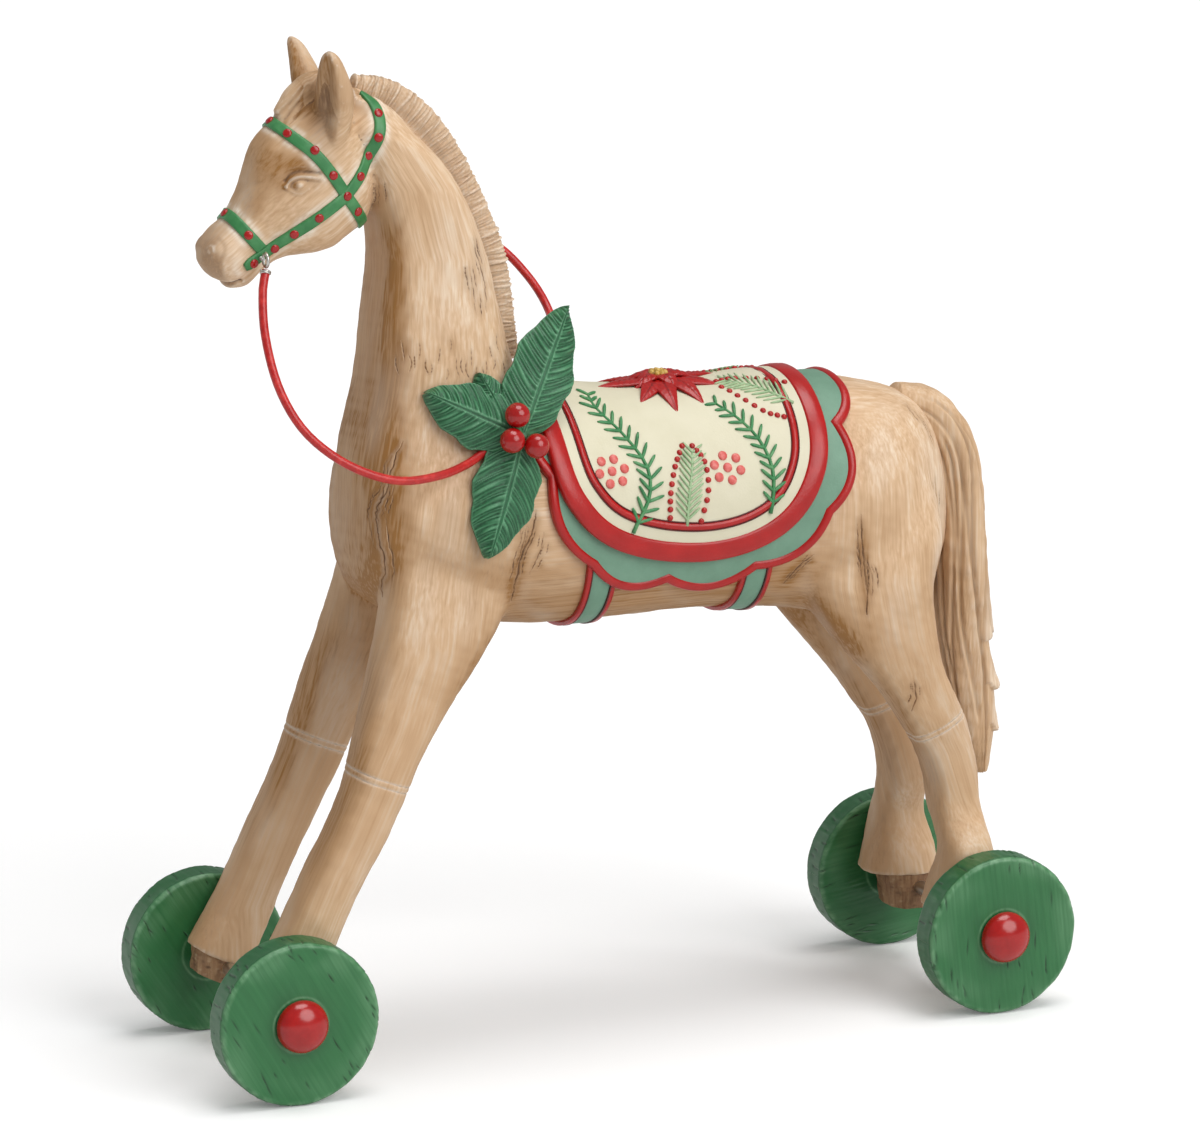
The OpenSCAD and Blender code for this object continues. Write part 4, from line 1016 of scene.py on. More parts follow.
MANE_STEPS, MANE_ROUND, MANE_DEPTH = 560, 64, 9
mane_rings = loft_rings(MANE, MANE_STEPS, MANE_ROUND)
run = run_of(mane_rings.mean(1))[:, None]
square = spline(MANE, np.linspace(0, len(MANE) - 1, MANE_STEPS + 1))[:, 6:7]
inner = signed_pow(np.sin(full_turn(MANE_ROUND)[None]), 2 / square)
outer_share = ramp(-inner, -0.85, 0.3)
lift, cut = locks_across(np.repeat(run, MANE_ROUND, 1), -inner * MANE_DEPTH, seed=21, length=run[-1, 0])
mane_rings = mane_rings + ring_normals(mane_rings) * (lift * outer_share)[..., None]
mane_shape = ring_mesh(mane_rings)
mane = fitted("carved_mane", mane_shape, limewashed_wood, "carved_wood", "mane")
grained(
    mane,
    mane_shape[0][:, [0, 2, 1]],
    stain=ring_values(cut * outer_share * 0.7 + 0.3 * swell(inner - 0.1, 0.16)),
    chalk=ring_values(0.12 + 0.28 * ramp(lift, 0.05, 0.5)),
    blush=ring_values(np.full(cut.shape, 0.16)),
)

TAIL_STEPS, TAIL_ROUND, TAIL_CUTS = 300, 96, 24
# Top and foot of each tier of locks
TAIL_TIERS = ((205, 154), (153.5, 131), (130.5, 112))
tail_rings = loft_rings(TAIL, TAIL_STEPS, TAIL_ROUND)
run = run_of(tail_rings.mean(1))[:, None]
length = run[-1, 0]
t = full_turn(TAIL_ROUND)[None]
dice = np.random.default_rng(33)
lift, cut = 0.3 * ripple(tail_rings, 9, 5), np.zeros((TAIL_STEPS + 1, TAIL_ROUND))
for k in range(TAIL_CUTS):
    centre = TAU * k / TAIL_CUTS + dice.uniform(-0.1, 0.1)
    sway = 0.16 * np.sin(run / dice.uniform(18, 30) + dice.uniform(0, TAU))
    off = turn_from(t - centre, sway + dice.uniform(-0.25, 0.25) * run / length)
    begin, end = dice.uniform(-10, 50), length * dice.uniform(0.72, 1.1)
    there = between(run, begin, begin + 12, end - 10, end)
    groove = dice.uniform(0.6, 1.6) * swell(off, 0.06) * there
    lift -= groove
    lift += 0.4 * swell(off - 0.14, 0.09) * there
    cut = np.maximum(cut, groove / 1.6)
behind = ramp(-np.sin(t), 0.2, 0.85)
for top, low in TAIL_TIERS:
    jag = tail_rings[..., 2] + 4.5 * np.abs(np.sin(3.5 * t + 0.4 * top)) - 2.2
    share = np.clip((top - jag) / (top - low), 0, 1)
    lift += 2.6 * behind * share**1.6 * (jag > low) * (jag <= top)
tail_rings = tail_rings + ring_normals(tail_rings) * lift[..., None]
tail_shape = ring_mesh(tail_rings)
tail = fitted("carved_tail", tail_shape, limewashed_wood, "carved_wood", "tail")
grained(
    tail,
    tail_shape[0],
    stain=ring_values(cut * 0.45),
    chalk=ring_values(0.25 * ramp(lift, 0.2, 1.3)),
    blush=ring_values(np.full(cut.shape, 0.1)),
)


def hoof_stations(leg, height, slim):
    """Three sections of a hoof, going down from the end of its leg."""
    end, (tilt, deep, wide) = np.array(leg[-1][:3]), leg[-1][3:6]
    a = math.radians(tilt)
    fore, down = np.array([math.cos(a), 0, math.sin(a)]), np.array([math.sin(a), 0, -math.cos(a)])
    rows = []
    for i in range(3):
        p = end - fore * slim + down * height * i / 2
        rows.append([*p, tilt, deep - 2 - slim - 1.6 * i, wide - 1.2 - 1.2 * i, 2.8, 0])
    return rows


for name, leg, height, slim in (("hoof_front", FRONT_LEG, 9.5, 0.5), ("hoof_rear", REAR_LEG, 16, 3.5)):
    rings = loft_rings(hoof_stations(leg, height, slim), 30, 72)
    rough = 0.35 * ripple(rings, 5, 61) + 0.25 * ripple(rings * [1, 1, 3], 4, 62)
    rings = rings + ring_normals(rings) * np.minimum(rough, 0.25)[..., None]
    shape = ring_mesh(rings)
    for side, turned in (("left", shape), ("right", mirrored(shape))):
        hoof = fitted(f"carved_{name}_{side}", turned, stained_hoof_wood, "hoof_wood", f"{name}_{side}")
        grained(
            hoof,
            turned[0],
            stain=ring_values(0.6 * ramp(-rough, 0.1, 0.5)),
            chalk=ring_values(0.4 * ramp(rough, 0.2, 0.5)),
            blush=np.zeros(len(turned[0])),
        )

# Saddle

BARREL = spline(TORSO, np.linspace(0, len(TORSO) - 1, 2601))


def barrel_at(x):
    """Sections of the barrel at places along it."""
    x = np.asarray(x, float)
    return np.stack([np.interp(x, BARREL[:, 0], BARREL[:, k]) for k in range(8)], -1)


def on_barrel(x, t, h):
    """Points a height h over the barrel, x along it and at angles t round it. A right angle is the top."""
    x, t, h = np.broadcast_arrays(np.asarray(x, float), t, h)
    s = barrel_at(x)
    f = signed_pow(np.sin(t), 2 / s[..., 6])
    g = signed_pow(np.cos(t), 2 / s[..., 6])
    y = (s[..., 5] + h) * g * (1 + s[..., 7] * np.sin(t))
    return np.stack([x, y, s[..., 2] + (s[..., 4] + h) * f], -1)


def angle_at(x, z):
    """The angle round the left side at a height in the side view."""
    s = barrel_at(x)
    f = np.clip((z - s[..., 2]) / (s[..., 4] + 3), -1, 1)
    return np.arcsin(np.clip(signed_pow(f, s[..., 6] / 2), -1, 1))


# Corners between the blanket's scallops, and points of the cover's hem: how far ahead and up
CUSPS = np.array(
    [[43, 60], [42, 24], [24, -16], [-12, -27], [-53, -25], [-87, -3], [-96, 33], [-101, 60]], float
)
SCALLOP = 7
COVER_HEM = [
    [43, 60], [40, 25], [32, 7], [18, -6], [-3, -14], [-28, -17],
    [-51, -14], [-69, -5], [-81, 10], [-87, 29], [-88, 60],
]


def hem_scallops():
    """The blanket's hem on the left, as arcs between its cusps, with the way inward at each point."""
    line, inward = [], []
    for p, q in zip(CUSPS[:-1], CUSPS[1:]):
        d = q - p
        side = np.array([-d[1], d[0]]) / np.linalg.norm(d)
        t = np.linspace(0, 1, 41)
        line.append(p + d * t[:, None] + side * (SCALLOP * 4 * t * (1 - t))[:, None])
        way = d + side * (SCALLOP * 4 * (1 - 2 * t))[:, None]
        way /= np.linalg.norm(way, axis=1, keepdims=True)
        inward.append(np.stack([way[:, 1], -way[:, 0]], 1))
    for a, b in zip(inward[:-1], inward[1:]):
        mid = a[-1] + b[0]
        mid = mid / (mid @ mid) * 2
        a[-1] = b[0] = mid
    line, inward = (np.vstack([rows[0]] + [part[1:] for part in rows[1:]]) for rows in (line, inward))
    return line + [0, SPINE], inward


def cover_hem():
    """The cover's hem on the left, with the way inward at each point."""
    line = curve_through(COVER_HEM, 1.0)
    way = ways_along(line)
    return line + [0, SPINE], np.stack([way[:, 1], -way[:, 0]], 1)


def round_back(line, inward, offset):
    """A hem moved inward and closed over the back, as x and angle."""
    at = line + inward * offset
    t = angle_at(at[:, 0], at[:, 1])
    base = angle_at(line[:, 0], line[:, 1])
    keep = np.where(base < math.radians(84))[0]
    a, b = keep[0], keep[-1]
    ends = []
    for k in (a, b):
        climb = np.linspace(t[k], math.pi / 2, 26)[1:]
        ends.append(np.stack([np.full(25, at[k, 0]), climb], 1))
    left = np.vstack([ends[0][::-1], np.stack([at[a : b + 1, 0], t[a : b + 1]], 1), ends[1]])
    right = left[::-1][1:-1] * [1, -1] + [0, math.pi]
    return np.vstack([left, right])


def hem_band(hem, profile):
    """A closed band along a hem. Profile points are inward offset and height over the barrel."""
    grid = []
    for offset, height in profile:
        edge = round_back(*hem, offset)
        grid.append(on_barrel(edge[:, 0], edge[:, 1], height))
    return loop_mesh(np.stack(grid, 1))


def hem_sheet(hem, offset, base, height, puff, middle):
    """A padded sheet inside a hem, from its walls to a point on the back."""
    edge = round_back(*hem, offset)
    rows = [on_barrel(edge[:, 0], edge[:, 1], base), on_barrel(edge[:, 0], edge[:, 1], height - 0.5)]
    for share in np.linspace(0.006, 0.985, 60):
        x = edge[:, 0] + (middle[0] - edge[:, 0]) * share
        t = edge[:, 1] + (middle[1] - edge[:, 1]) * share
        rows.append(on_barrel(x, t, height + puff * ramp(share, 0, 0.35)))
    return ring_mesh(np.array(rows))


HEM, COVER = hem_scallops(), cover_hem()
MIDDLE = (-26.0, math.pi / 2)
# Profiles of the bands along the hems: how far in from the hem, and height over the barrel
PIPING = [
    (0, -0.8), (0, 1.9), (0.3, 2.7), (0.9, 3.15), (2.0, 3.3),
    (3.1, 3.1), (3.7, 2.7), (4.0, 2.3), (4.0, -0.8),
]
BORDER = [
    (0, 1.2), (0, 4.6), (0.25, 5.5), (0.9, 6.0), (4, 6.25),
    (7.5, 6.0), (8.2, 5.7), (8.4, 5.2), (8.4, 1.2),
]
LINE = [(13.2, 3), (13.4, 5.6), (13.8, 6.1), (14.8, 6.35), (15.8, 6.1), (16.2, 5.6), (16.4, 3)]
SEAM = [(0, 3), (0.1, 5.75), (0.35, 5.95), (0.6, 5.75), (0.7, 3)]
blanket = hem_sheet(HEM, offset=1.5, base=-0.6, height=2.4, puff=0.0, middle=MIDDLE)
fitted("saddle_blanket_cloth", blanket, sage_paint, "blanket_paint", "saddle_blanket")
fitted("blanket_hem", hem_band(HEM, PIPING), red_paint, "red_trim", "blanket_piping")
cover = hem_sheet(COVER, offset=0.8, base=1.5, height=5.3, puff=0.4, middle=MIDDLE)
fitted("padded_cover", cover, cream_paint, "cream_cover", "saddle_cover")
fitted("cover_edge_band", hem_band(COVER, BORDER), red_paint, "red_trim", "cover_border")
fitted("cover_inner_band", hem_band(COVER, LINE), red_paint, "red_trim", "cover_line")
for name, low in (("cover_line_outer", 12.75), ("cover_line_inner", 16.15)):
    seam = hem_band(COVER, [(low + inset, height) for inset, height in SEAM])
    fitted(name, seam, dark_seam, "red_trim")


GIRTHS = {"front": 18, "rear": -54}
WEBBING, EDGED = 4.5, 6.9
GIRTH_PROFILE = ((0, -0.5), (0, 0.8), (0.06, 1.0), (0.5, 1.0), (0.94, 1.0), (1, 0.8), (1, -0.5))


def girth(x, low, high, thick):
    """Webbing under the belly, from hem to hem."""
    hem_left = float(angle_at(x, SPINE - 8.0))
    t = np.linspace(hem_left, -math.pi - hem_left, 120)
    rows = []
    for share, height in GIRTH_PROFILE:
        place = low + (high - low) * share
        rows.append(on_barrel(np.full(120, x + place), t, height * thick))
    return ring_mesh(np.stack(rows, 1))


for name, x in GIRTHS.items():
    webbing = girth(x, -WEBBING, WEBBING, 1.5)
    fitted(f"girth_webbing_{name}", webbing, sage_paint, "green_girth", f"girth_{name}")
sides = ((-EDGED, -WEBBING), (WEBBING, EDGED))
edging = joined([girth(x, a, b, 1.9) for x in GIRTHS.values() for a, b in sides])
fitted("girth_edges", edging, red_paint, "red_trim", "girth_edging")
seams = joined([girth(x, a, a + 0.55, 2.0) for x in GIRTHS.values() for a in (-5.0, 4.45)])
fitted("girth_edge_lines", seams, dark_seam, "red_trim")

# Raised fir sprigs, ferns, berries and a poinsettia on the cover

# Height of the cover's face over the barrel
TOP = 5.75


def cover_frame(x, t):
    """A point on the cover, with the ways along the horse, up round the barrel, and out."""
    e = 1e-3
    p = on_barrel(x, t, TOP)
    along = on_barrel(x + 0.5, t, TOP) - on_barrel(x - 0.5, t, TOP)
    up = on_barrel(x, t + e, TOP) - on_barrel(x, t - e, TOP)
    up /= np.linalg.norm(up)
    along = along - up * (along @ up)
    along /= np.linalg.norm(along)
    out = np.cross(up, along)
    if out[1] * p[1] + out[2] * (p[2] - SPINE) < 0:
        out = -out
    return p, along, up, out


def bead(p, ways, radii, count=12, rows=7):
    """A raised drop with its foot sunk in the cover."""
    rings = []
    t = full_turn(count)
    for a in np.linspace(-0.35, 1.35, rows):
        flat = np.cos(t)[:, None] * ways[0] * radii[0] + np.sin(t)[:, None] * ways[1] * radii[1]
        rings.append(p + flat * math.cos(a) + ways[2] * radii[2] * math.sin(a))
    return ring_mesh(np.array(rings))


def needle(x, t, angle, length, thick, height):
    """A raised needle from a stem, at an angle from straight ahead."""
    p, along, up, out = cover_frame(x, t)
    way = math.cos(angle) * along + math.sin(angle) * up
    share = np.linspace(0, 1, 7)[:, None]
    line = p + way * length * share + out * (height - thick / 2)
    across_size = thick / 2 * np.array([0.7, 0.9, 1, 1, 1, 0.85, 0.45])
    return tube(line, across_size, 8)


def stem_points(points, step):
    """A stem's points as x and angle and as places, with its direction at each."""
    rows = np.array(points, float) * [1, math.pi / 180]
    fine = spline(rows, np.linspace(0, len(rows) - 1, 400))
    lay = on_barrel(fine[:, 0], fine[:, 1], TOP)
    run = run_of(lay)
    want = np.arange(0, run[-1], step)
    place = np.stack([np.interp(want, run, fine[:, k]) for k in (0, 1)], 1)
    ways = []
    for x, t in place:
        ways.append(cover_frame(x, t)[1:3])
    spots = np.stack([np.interp(want, run, lay[:, k]) for k in range(3)], 1)
    heading = np.gradient(spots, axis=0)
    angle = [math.atan2(h @ up, h @ along) for h, (along, up) in zip(heading, ways)]
    return place, spots, np.array(angle)


def sprig(points, step, length, spread, thick, height, stem_width):
    """A stem with pairs of needles that lean toward its tip. The first point is the tip."""
    place, spots, angle = stem_points(points[::-1], step)
    shapes = [tube(spots, stem_width / 2 * np.linspace(1.15, 0.7, len(spots)), 8)]
    for k, ((x, t), a) in enumerate(zip(place[1:], angle[1:])):
        size = length * (0.75 if k > len(place) - 4 else 1.0) * (0.92 + 0.16 * ((k * 7) % 5) / 5)
        for side in (1, -1):
            shapes.append(needle(x, t, a + side * spread, size, thick, height))
    return joined(shapes)


# Places on the cover: millimetres along the barrel, degrees round it
FIR_FRONT = [(12.5, 76.5), (13, 60.5), (4, 42), (-2.5, 26.5), (-1.5, 12.5), (6.5, -1)]
FIR_REAR = [(-41, 60), (-49, 47.5), (-55.5, 34.5), (-59, 20.5), (-58, 7.5), (-56.5, 1.5)]
FERN = [(-24, 32.5), (-22.5, 24.5), (-20.5, 16), (-19, 8), (-18, 0)]
TOP_FERN = [(-50.5, 80), (-61, 71.5), (-68.5, 62.5), (-76, 54)]
BEAD_ROWS = [
    ([(-20, 36), (-15, 26), (-11.5, 14), (-10.5, 3.5)], 10),
    ([(-24.5, 35.5), (-28.5, 27), (-28.5, 13.5), (-24.5, 1)], 10),
    ([(-48.5, 72.5), (-54.5, 60.5), (-62, 50), (-69.5, 46)], 9),
    ([(-48.5, 79.5), (-56.5, 80.5), (-68, 76.5), (-77, 70.5)], 9),
]
FERN_BEADS = [p for row, count in BEAD_ROWS for p in spline(row, np.linspace(0, len(row) - 1, count))]
# Six berries round a seventh
CLUSTERS = []
CLUSTER_R = 6.1
for x, t, turn in ((14, 24.5, -14), (-38.5, 23, 17)):
    ring = np.radians(turn + 60 * np.arange(6))
    CLUSTERS += [(x, t)] + list(zip(x + CLUSTER_R * np.cos(ring), t + CLUSTER_R * np.sin(ring)))


def both(shape):
    """A shape on both sides of the horse."""
    return joined([shape, mirrored(shape)])


# Needle spacing, length, spread, thickness and height, and stem width
fir = [sprig(FIR_FRONT, 4.8, 7.4, 0.88, 1.5, 0.95, 1.6), sprig(FIR_REAR, 4.7, 7.0, 0.88, 1.5, 0.95, 1.6)]
fitted("cover_fir_sprigs", both(joined(fir)), fir_paint, "green_girth")
ferns = [sprig(FERN, 2.6, 8.0, 0.8, 1.1, 0.7, 1.3), sprig(TOP_FERN, 2.8, 9.0, 0.85, 1.1, 0.7, 1.2)]
fitted("cover_ferns", both(joined(ferns)), moss_paint, "green_girth")


def beads_on(places, radius, height):
    """Round drops at places on the cover."""
    shapes = []
    for x, t in places:
        p, along, up, out = cover_frame(x, math.radians(t))
        shapes.append(bead(p, (along, up, out), (radius, radius, height)))
    return joined(shapes)


fitted("cover_fern_berries", both(beads_on(FERN_BEADS, radius=1.3, height=1.0)), red_paint, "red_trim")
fitted("cover_berry_clusters", both(beads_on(CLUSTERS, radius=2.1, height=0.9)), coral_paint, "red_trim")


def petal(angle, length, width, lift, tip_drop, twist):
    """A pointed petal that arches from the flower's middle down to the cover, and its dark wash."""
    s, c = np.meshgrid(np.linspace(0, 1, 30), np.linspace(-1, 1, 17), indexing="ij")
    half = width / 2 * np.sin(np.pi * np.clip(s, 0, 1) ** 0.62) ** 0.85 * (1 - 0.25 * s) + 0.25
    a = length * s
    b = half * c + twist * np.sin(np.pi * s)
    dx = a * math.cos(angle) - b * math.sin(angle)
    dy = a * math.sin(angle) + b * math.cos(angle)
    crown = lift * np.sin(np.pi * np.clip(s * 0.9 + 0.12, 0, 1)) - tip_drop * s**3
    fold = 0.9 * (1 - np.abs(c)) * np.sin(np.pi * s) ** 0.7 - 0.45 * swell(c, 0.12) * ramp(s, 0.05, 0.2)
    veins = 0.18 * np.cos(TAU * (s * length / 2.6 - np.abs(c) * 1.1)) * np.sin(np.pi * s)
    sheets = []
    for height in (1.0 + crown + fold + veins, 0.2 + crown - 0.3):
        x = MIDDLE[0] + dx
        wide = barrel_at(x)
        y = np.clip(dy / (wide[..., 5] + TOP), -0.98, 0.98)
        t = np.arccos(signed_pow(y, wide[..., 6] / 2))
        sheets.append(on_barrel(x, t, TOP - 0.4 + height))
    rings = np.concatenate([sheets[0], sheets[1][:, ::-1]], 1)
    dark = 0.5 * swell(c, 0.1) + 0.3 * ramp(-veins, 0.05, 0.18)
    return ring_mesh(rings), np.concatenate([dark, 0 * c + 0.6], 1)


# Outer petals, then inner ones: direction, length, width, lift, drop of the tip, twist
PETALS = [
    (10, 30, 12, 1.2, 0.6, 0), (52, 27, 11, 1.2, 0.6, 1), (84, 29, 11, 1.3, 0.8, -1),
    (112, 28, 11, 1.3, 0.8, 1), (150, 26, 13, 0.9, 0.6, 0), (188, 27, 13, 0.9, 0.6, 1),
    (228, 25, 12, 0.9, 0.6, -1), (262, 26, 12, 1.0, 0.8, 1), (292, 25, 12, 1.0, 0.8, 0),
    (330, 26, 13, 0.9, 0.6, 1),
    (32, 17, 9, 3.0, 1.2, 0), (98, 16, 9, 3.0, 1.2, 0), (170, 17, 9, 3.0, 1.2, 0),
    (210, 15, 8, 3.0, 1.2, 0), (276, 16, 9, 3.0, 1.2, 0), (348, 16, 9, 3.0, 1.2, 0),
]
shapes, cuts = [], []
for angle, *sizes in PETALS:
    shape, cut = petal(math.radians(angle), *sizes)
    shapes.append(shape)
    cuts.append(ring_values(cut))
flower = fitted("poinsettia", joined(shapes), red_paint, "red_trim", "poinsettia_petals")
values(flower, stain=np.concatenate(cuts))
middle_beads = []
for k in range(8):
    r, a = (0, 0) if k == 0 else (2.7, TAU * k / 7)
    p, along, up, out = cover_frame(MIDDLE[0] + r * math.cos(a), math.pi / 2 + r * math.sin(a) / 48)
    middle_beads.append(bead(p + out * 3.2, (along, up, out), (1.45, 1.45, 1.9 if k else 2.4)))
fitted("poinsettia_beads", joined(middle_beads), gilding, "gold_beads", "poinsettia_centre")

# Bridle and rein

skin = surface_of(carved)


def settle(p):
    """The carved surface nearest a point, and its outward direction."""
    spot, way, _, _ = skin.find_nearest(Vector(np.asarray(p) * MM))
    return np.array(spot) / MM, np.array(way)


STRAP_W, STRAP_THICK, SIDE_THICK = 4.9, 1.0, 1.15
# A strap's section: share of the half width, share of the thickness
STRAP_PROFILE = (
    (-1, -0.6), (-1, 0.7), (-0.93, 0.95), (-0.5, 1.0), (0, 1.0),
    (0.5, 1.0), (0.93, 0.95), (1, 0.7), (1, -0.6),
)


def strap(line, thick, taper=0.0):
    """A flat strap laid along points on the head, pointed over its last stretch if it tapers."""
    line = even(line, 1.0)
    wide = np.sqrt(np.clip((len(line) - np.arange(len(line))) / (taper + 1e-6), 0.02, 1))
    line = relaxed(line, 6)
    out = relaxed(np.array([settle(p)[1] for p in line]), 8)
    out /= np.linalg.norm(out, axis=1, keepdims=True)
    across = np.cross(ways_along(line), out)
    rings = []
    for k, p in enumerate(line):
        ring = []
        for c, h in STRAP_PROFILE:
            foot, _ = settle(p + across[k] * c * STRAP_W / 2 * wide[k])
            ring.append(foot + out[k] * h * thick)
        rings.append(ring)
    return ring_mesh(relaxed(np.array(rings), 3))


def over_head(line):
    """A side-view line carried over the top of the head, from its left end to its right end."""
    line = np.array(line, float) + [0, SPINE]
    fine = curve_through(line, 0.8)
    left = lying(fine, 0.8)
    step = fine[5] - fine[0]
    way = Vector((step[0], 0, step[1])).normalized()
    spot, _, _, _ = skin.ray_cast(Vector((fine[0, 0] * MM, 0, fine[0, 1] * MM)) - way * 0.02, way)
    top = np.array(spot) / MM
    left = left[left[:, 1] > 2.5]
    left = left[np.argsort(-left[:, 2])]
    return np.vstack([(left * [1, -1, 1])[::-1], top[None], left])


# Middle lines of the straps in the side view: how far ahead, and height over the spine
NOSE = [[171, 144], [165, 134], [160.5, 128], [155.5, 122.3]]
BROW = [[156, 178], [148, 173], [141, 167], [134, 161], [127, 152], [121, 143], [115.5, 136], [110, 129]]
CHEEK = [[163, 115.5], [157, 119], [150.5, 123], [142.5, 128.5], [133, 135], [121, 143]]
CROWN = [
    [121, 143], [115, 150], [110, 158.5], [106, 167], [104.8, 173], [105.6, 177.5], [108, 181], [110.6, 183],
]
CHEEK_TAPER, CROWN_TAPER = 2.5, 9
nose_line, brow_line = over_head(NOSE), over_head(BROW)
for name, line in (("nose", nose_line), ("brow", brow_line)):
    fitted(f"{name}_strap", strap(line, STRAP_THICK), green_paint, "green_strap", f"{name}band")
for side, word in ((1, "left"), (-1, "right")):
    for name, line, order, taper in (("cheek", CHEEK, -1, CHEEK_TAPER), ("crown", CROWN, 1, CROWN_TAPER)):
        laid = lying(np.array(line, float) + [0, SPINE], 1.0, side)[::order]
        shape = strap(laid, SIDE_THICK, taper)
        fitted(f"{name}_strap_{word}", shape, green_paint, "green_strap", f"{name}piece_{word}")


STUD_R, STUD_HIGH, STUD_SEAT = 1.9, 1.1, 0.8
# A stud's section: share of the radius, share of the height
STUD_PROFILE = ((1, -0.5), (1, 0.35), (0.95, 0.6), (0.8, 0.82), (0.55, 0.95), (0.25, 1.0))


def stud(p, out):
    """A low domed stud on a strap, over a place on the head."""
    a = np.cross(out, [0.2, 0.3, 0.9])
    a /= np.linalg.norm(a)
    dome = circle(a, np.cross(out, a), 20)
    foot = p + out * STUD_SEAT
    return ring_mesh(np.array([foot + STUD_R * r * dome + out * h * STUD_HIGH for r, h in STUD_PROFILE]))


STUDS = [
    [161, 128.5], [159.3, 117], [150, 122.6], [142.5, 128.5], [133, 135], [121, 143], [114.8, 150.5],
    [110.3, 158.5], [106.5, 166], [105.3, 175], [143, 168.6], [134, 162.4], [127, 152], [115.5, 136],
]
shapes = []
for ahead, height in STUDS:
    for side in (1, -1):
        p, _ = cast(ahead, height + SPINE, side)
        if p is not None:
            shapes.append(stud(p, settle(p)[1]))
for line in (nose_line, brow_line):
    shapes.append(stud(*settle(line[len(line) // 2])))
fitted("strap_studs", joined(shapes), berry_lacquer, "red_studs", "bridle_studs")

# Chalky wash is left beside the straps
co = points_of(carved.data)
beside = np.zeros(len(co))
for line in (NOSE, BROW, CHEEK, CROWN):
    near, _, gap = close_to(co[:, [0, 2]], curve_through(np.array(line, float) + [0, SPINE], 0.5), 9)
    beside[near] = np.maximum(beside[near], swell(gap - 3.4, 1.4) * (gap > 2))
beside *= (co[:, 0] > 98) * ramp(ripple(co, 9, 15), -0.9, 0.4)
chalked = carved.data.attributes["chalk"].data
level = numbers_of(chalked, "value", 1)[:, 0]
chalked.foreach_set("value", np.clip(level + 0.5 * beside, 0, 1).astype(np.float32))

EYELET_X, EYELET_Y, EYELET_Z = 156, 18.86, SPINE + 119
RING_R, WIRE_R, STRAND_R, SHANK = 2.8, 0.7, 0.55, 9
REIN_D = 3.6


def coil(line, radius, turns, wire, begin, end):
    """Wire wound round part of a line."""
    line = even(line, 0.3)
    run = np.arange(len(line)) * 0.3
    way = ways_along(line)
    place = np.linspace(begin, end, int(turns * 22))
    points = []
    for k, r in enumerate(place):
        p = np.array([np.interp(r, run, line[:, j]) for j in range(3)])
        d = np.array([np.interp(r, run, way[:, j]) for j in range(3)])
        a = np.cross(d, [0.1, 0.9, 0.3])
        a /= np.linalg.norm(a)
        b = np.cross(d, a)
        spin = TAU * turns * k / len(place)
        points.append(p + radius * (math.cos(spin) * a + math.sin(spin) * b))
    return tube(np.array(points), wire, 8)


def eyelet():
    """A wire ring on the left whose two ends are twisted into a shank in the wood."""
    a = np.linspace(0, TAU, 60)[:-1]
    ring = np.stack([0 * a, RING_R * np.cos(a), RING_R * np.sin(a)], 1)
    fore = np.array([1, 0, 0])
    pieces = [loop_mesh(np.array([p + WIRE_R * circle(p / RING_R, fore, 10) for p in ring]))]
    run = np.linspace(0, 1, 50)
    for phase in (0, math.pi):
        spin = phase + run * 3 * TAU
        strand = [STRAND_R * np.cos(spin), -RING_R + 0.4 - SHANK * run, STRAND_R * np.sin(spin)]
        pieces.append(tube(np.stack(strand, 1), STRAND_R, 8))
    verts, faces = joined(pieces)
    return verts + [EYELET_X, EYELET_Y, EYELET_Z], faces


def cord(name, route, diameter):
    """A cord's curve through its route, with its points and its length in metres."""
    points = curve_through(route, 4.0) * MM
    data = bpy.data.curves.new(name, "CURVE")
    data.dimensions = "3D"
    line = data.splines.new("POLY")
    line.points.add(len(points) - 1)
    for spot, p in zip(line.points, points):
        spot.co = (*p, 1)
    line.use_smooth = True
    data.bevel_depth = diameter / 2 * MM
    data.bevel_resolution = 6
    data.use_fill_caps = True
    data.materials.append(cord_red)
    obj = bpy.data.objects.new(name, data)
    bpy.context.scene.collection.objects.link(obj)
    return obj, points, float(np.linalg.norm(np.diff(points, axis=0), axis=1).sum())


REIN_NEAR = [
    [EYELET_X, EYELET_Y, 114.75], [159, 23, 106], [161, 31, 90], [159, 40, 71], [152, 47, 55],
    [140, 51, 43], [126, 54, 35], [110.5, 54, 30.5], [92.5, 50, 30.5], [78, 43, 32.5], [70, 39.2, 35.4],
    [63.5, 37.6, 38],
]
REIN_FAR = [
    [153.875, -EYELET_Y, 119], [146, -31, 125], [125, -37, 127], [100, -37, 125], [76, -36, 120],
    [54, -34, 116], [35, -31, 108], [22, -26, 94], [17, -16, 81], [22, 1, 73], [31, 15, 65],
    [39, 25.5, 58], [46, 34, 52.5],
]
for name, route, word in (("rein_near", REIN_NEAR, "left"), ("rein_far", REIN_FAR, "right")):
    route = np.array(route) + [0, 0, SPINE]
    rein, points, length = cord(name, route, REIN_D)
    ring = eyelet() if word == "left" else mirrored(eyelet())
    # The wire is bound twice round the end of the rein
    binding = coil(curve_through(route, 1.0), radius=1.95, turns=2.2, wire=0.4, begin=0.1, end=1.6)
    fitted(f"wire_eyelet_{word}", joined([ring, binding]), steel_wire, "steel_wire", f"rein_eyelet_{word}")
    wear(rein, "horse", "red_rein", f"rein_{word}")

# Holly

SPRIG_X, SPRIG_IN, SPRIG_UP = 54.0, 4.5, 41.5
SPRIG = np.array([SPRIG_X, float(barrel_at(SPRIG_X)[5]) - SPRIG_IN, SPINE + SPRIG_UP])
SPRIG_LEAN = math.radians(16)
VEIN_STEP = 2.0


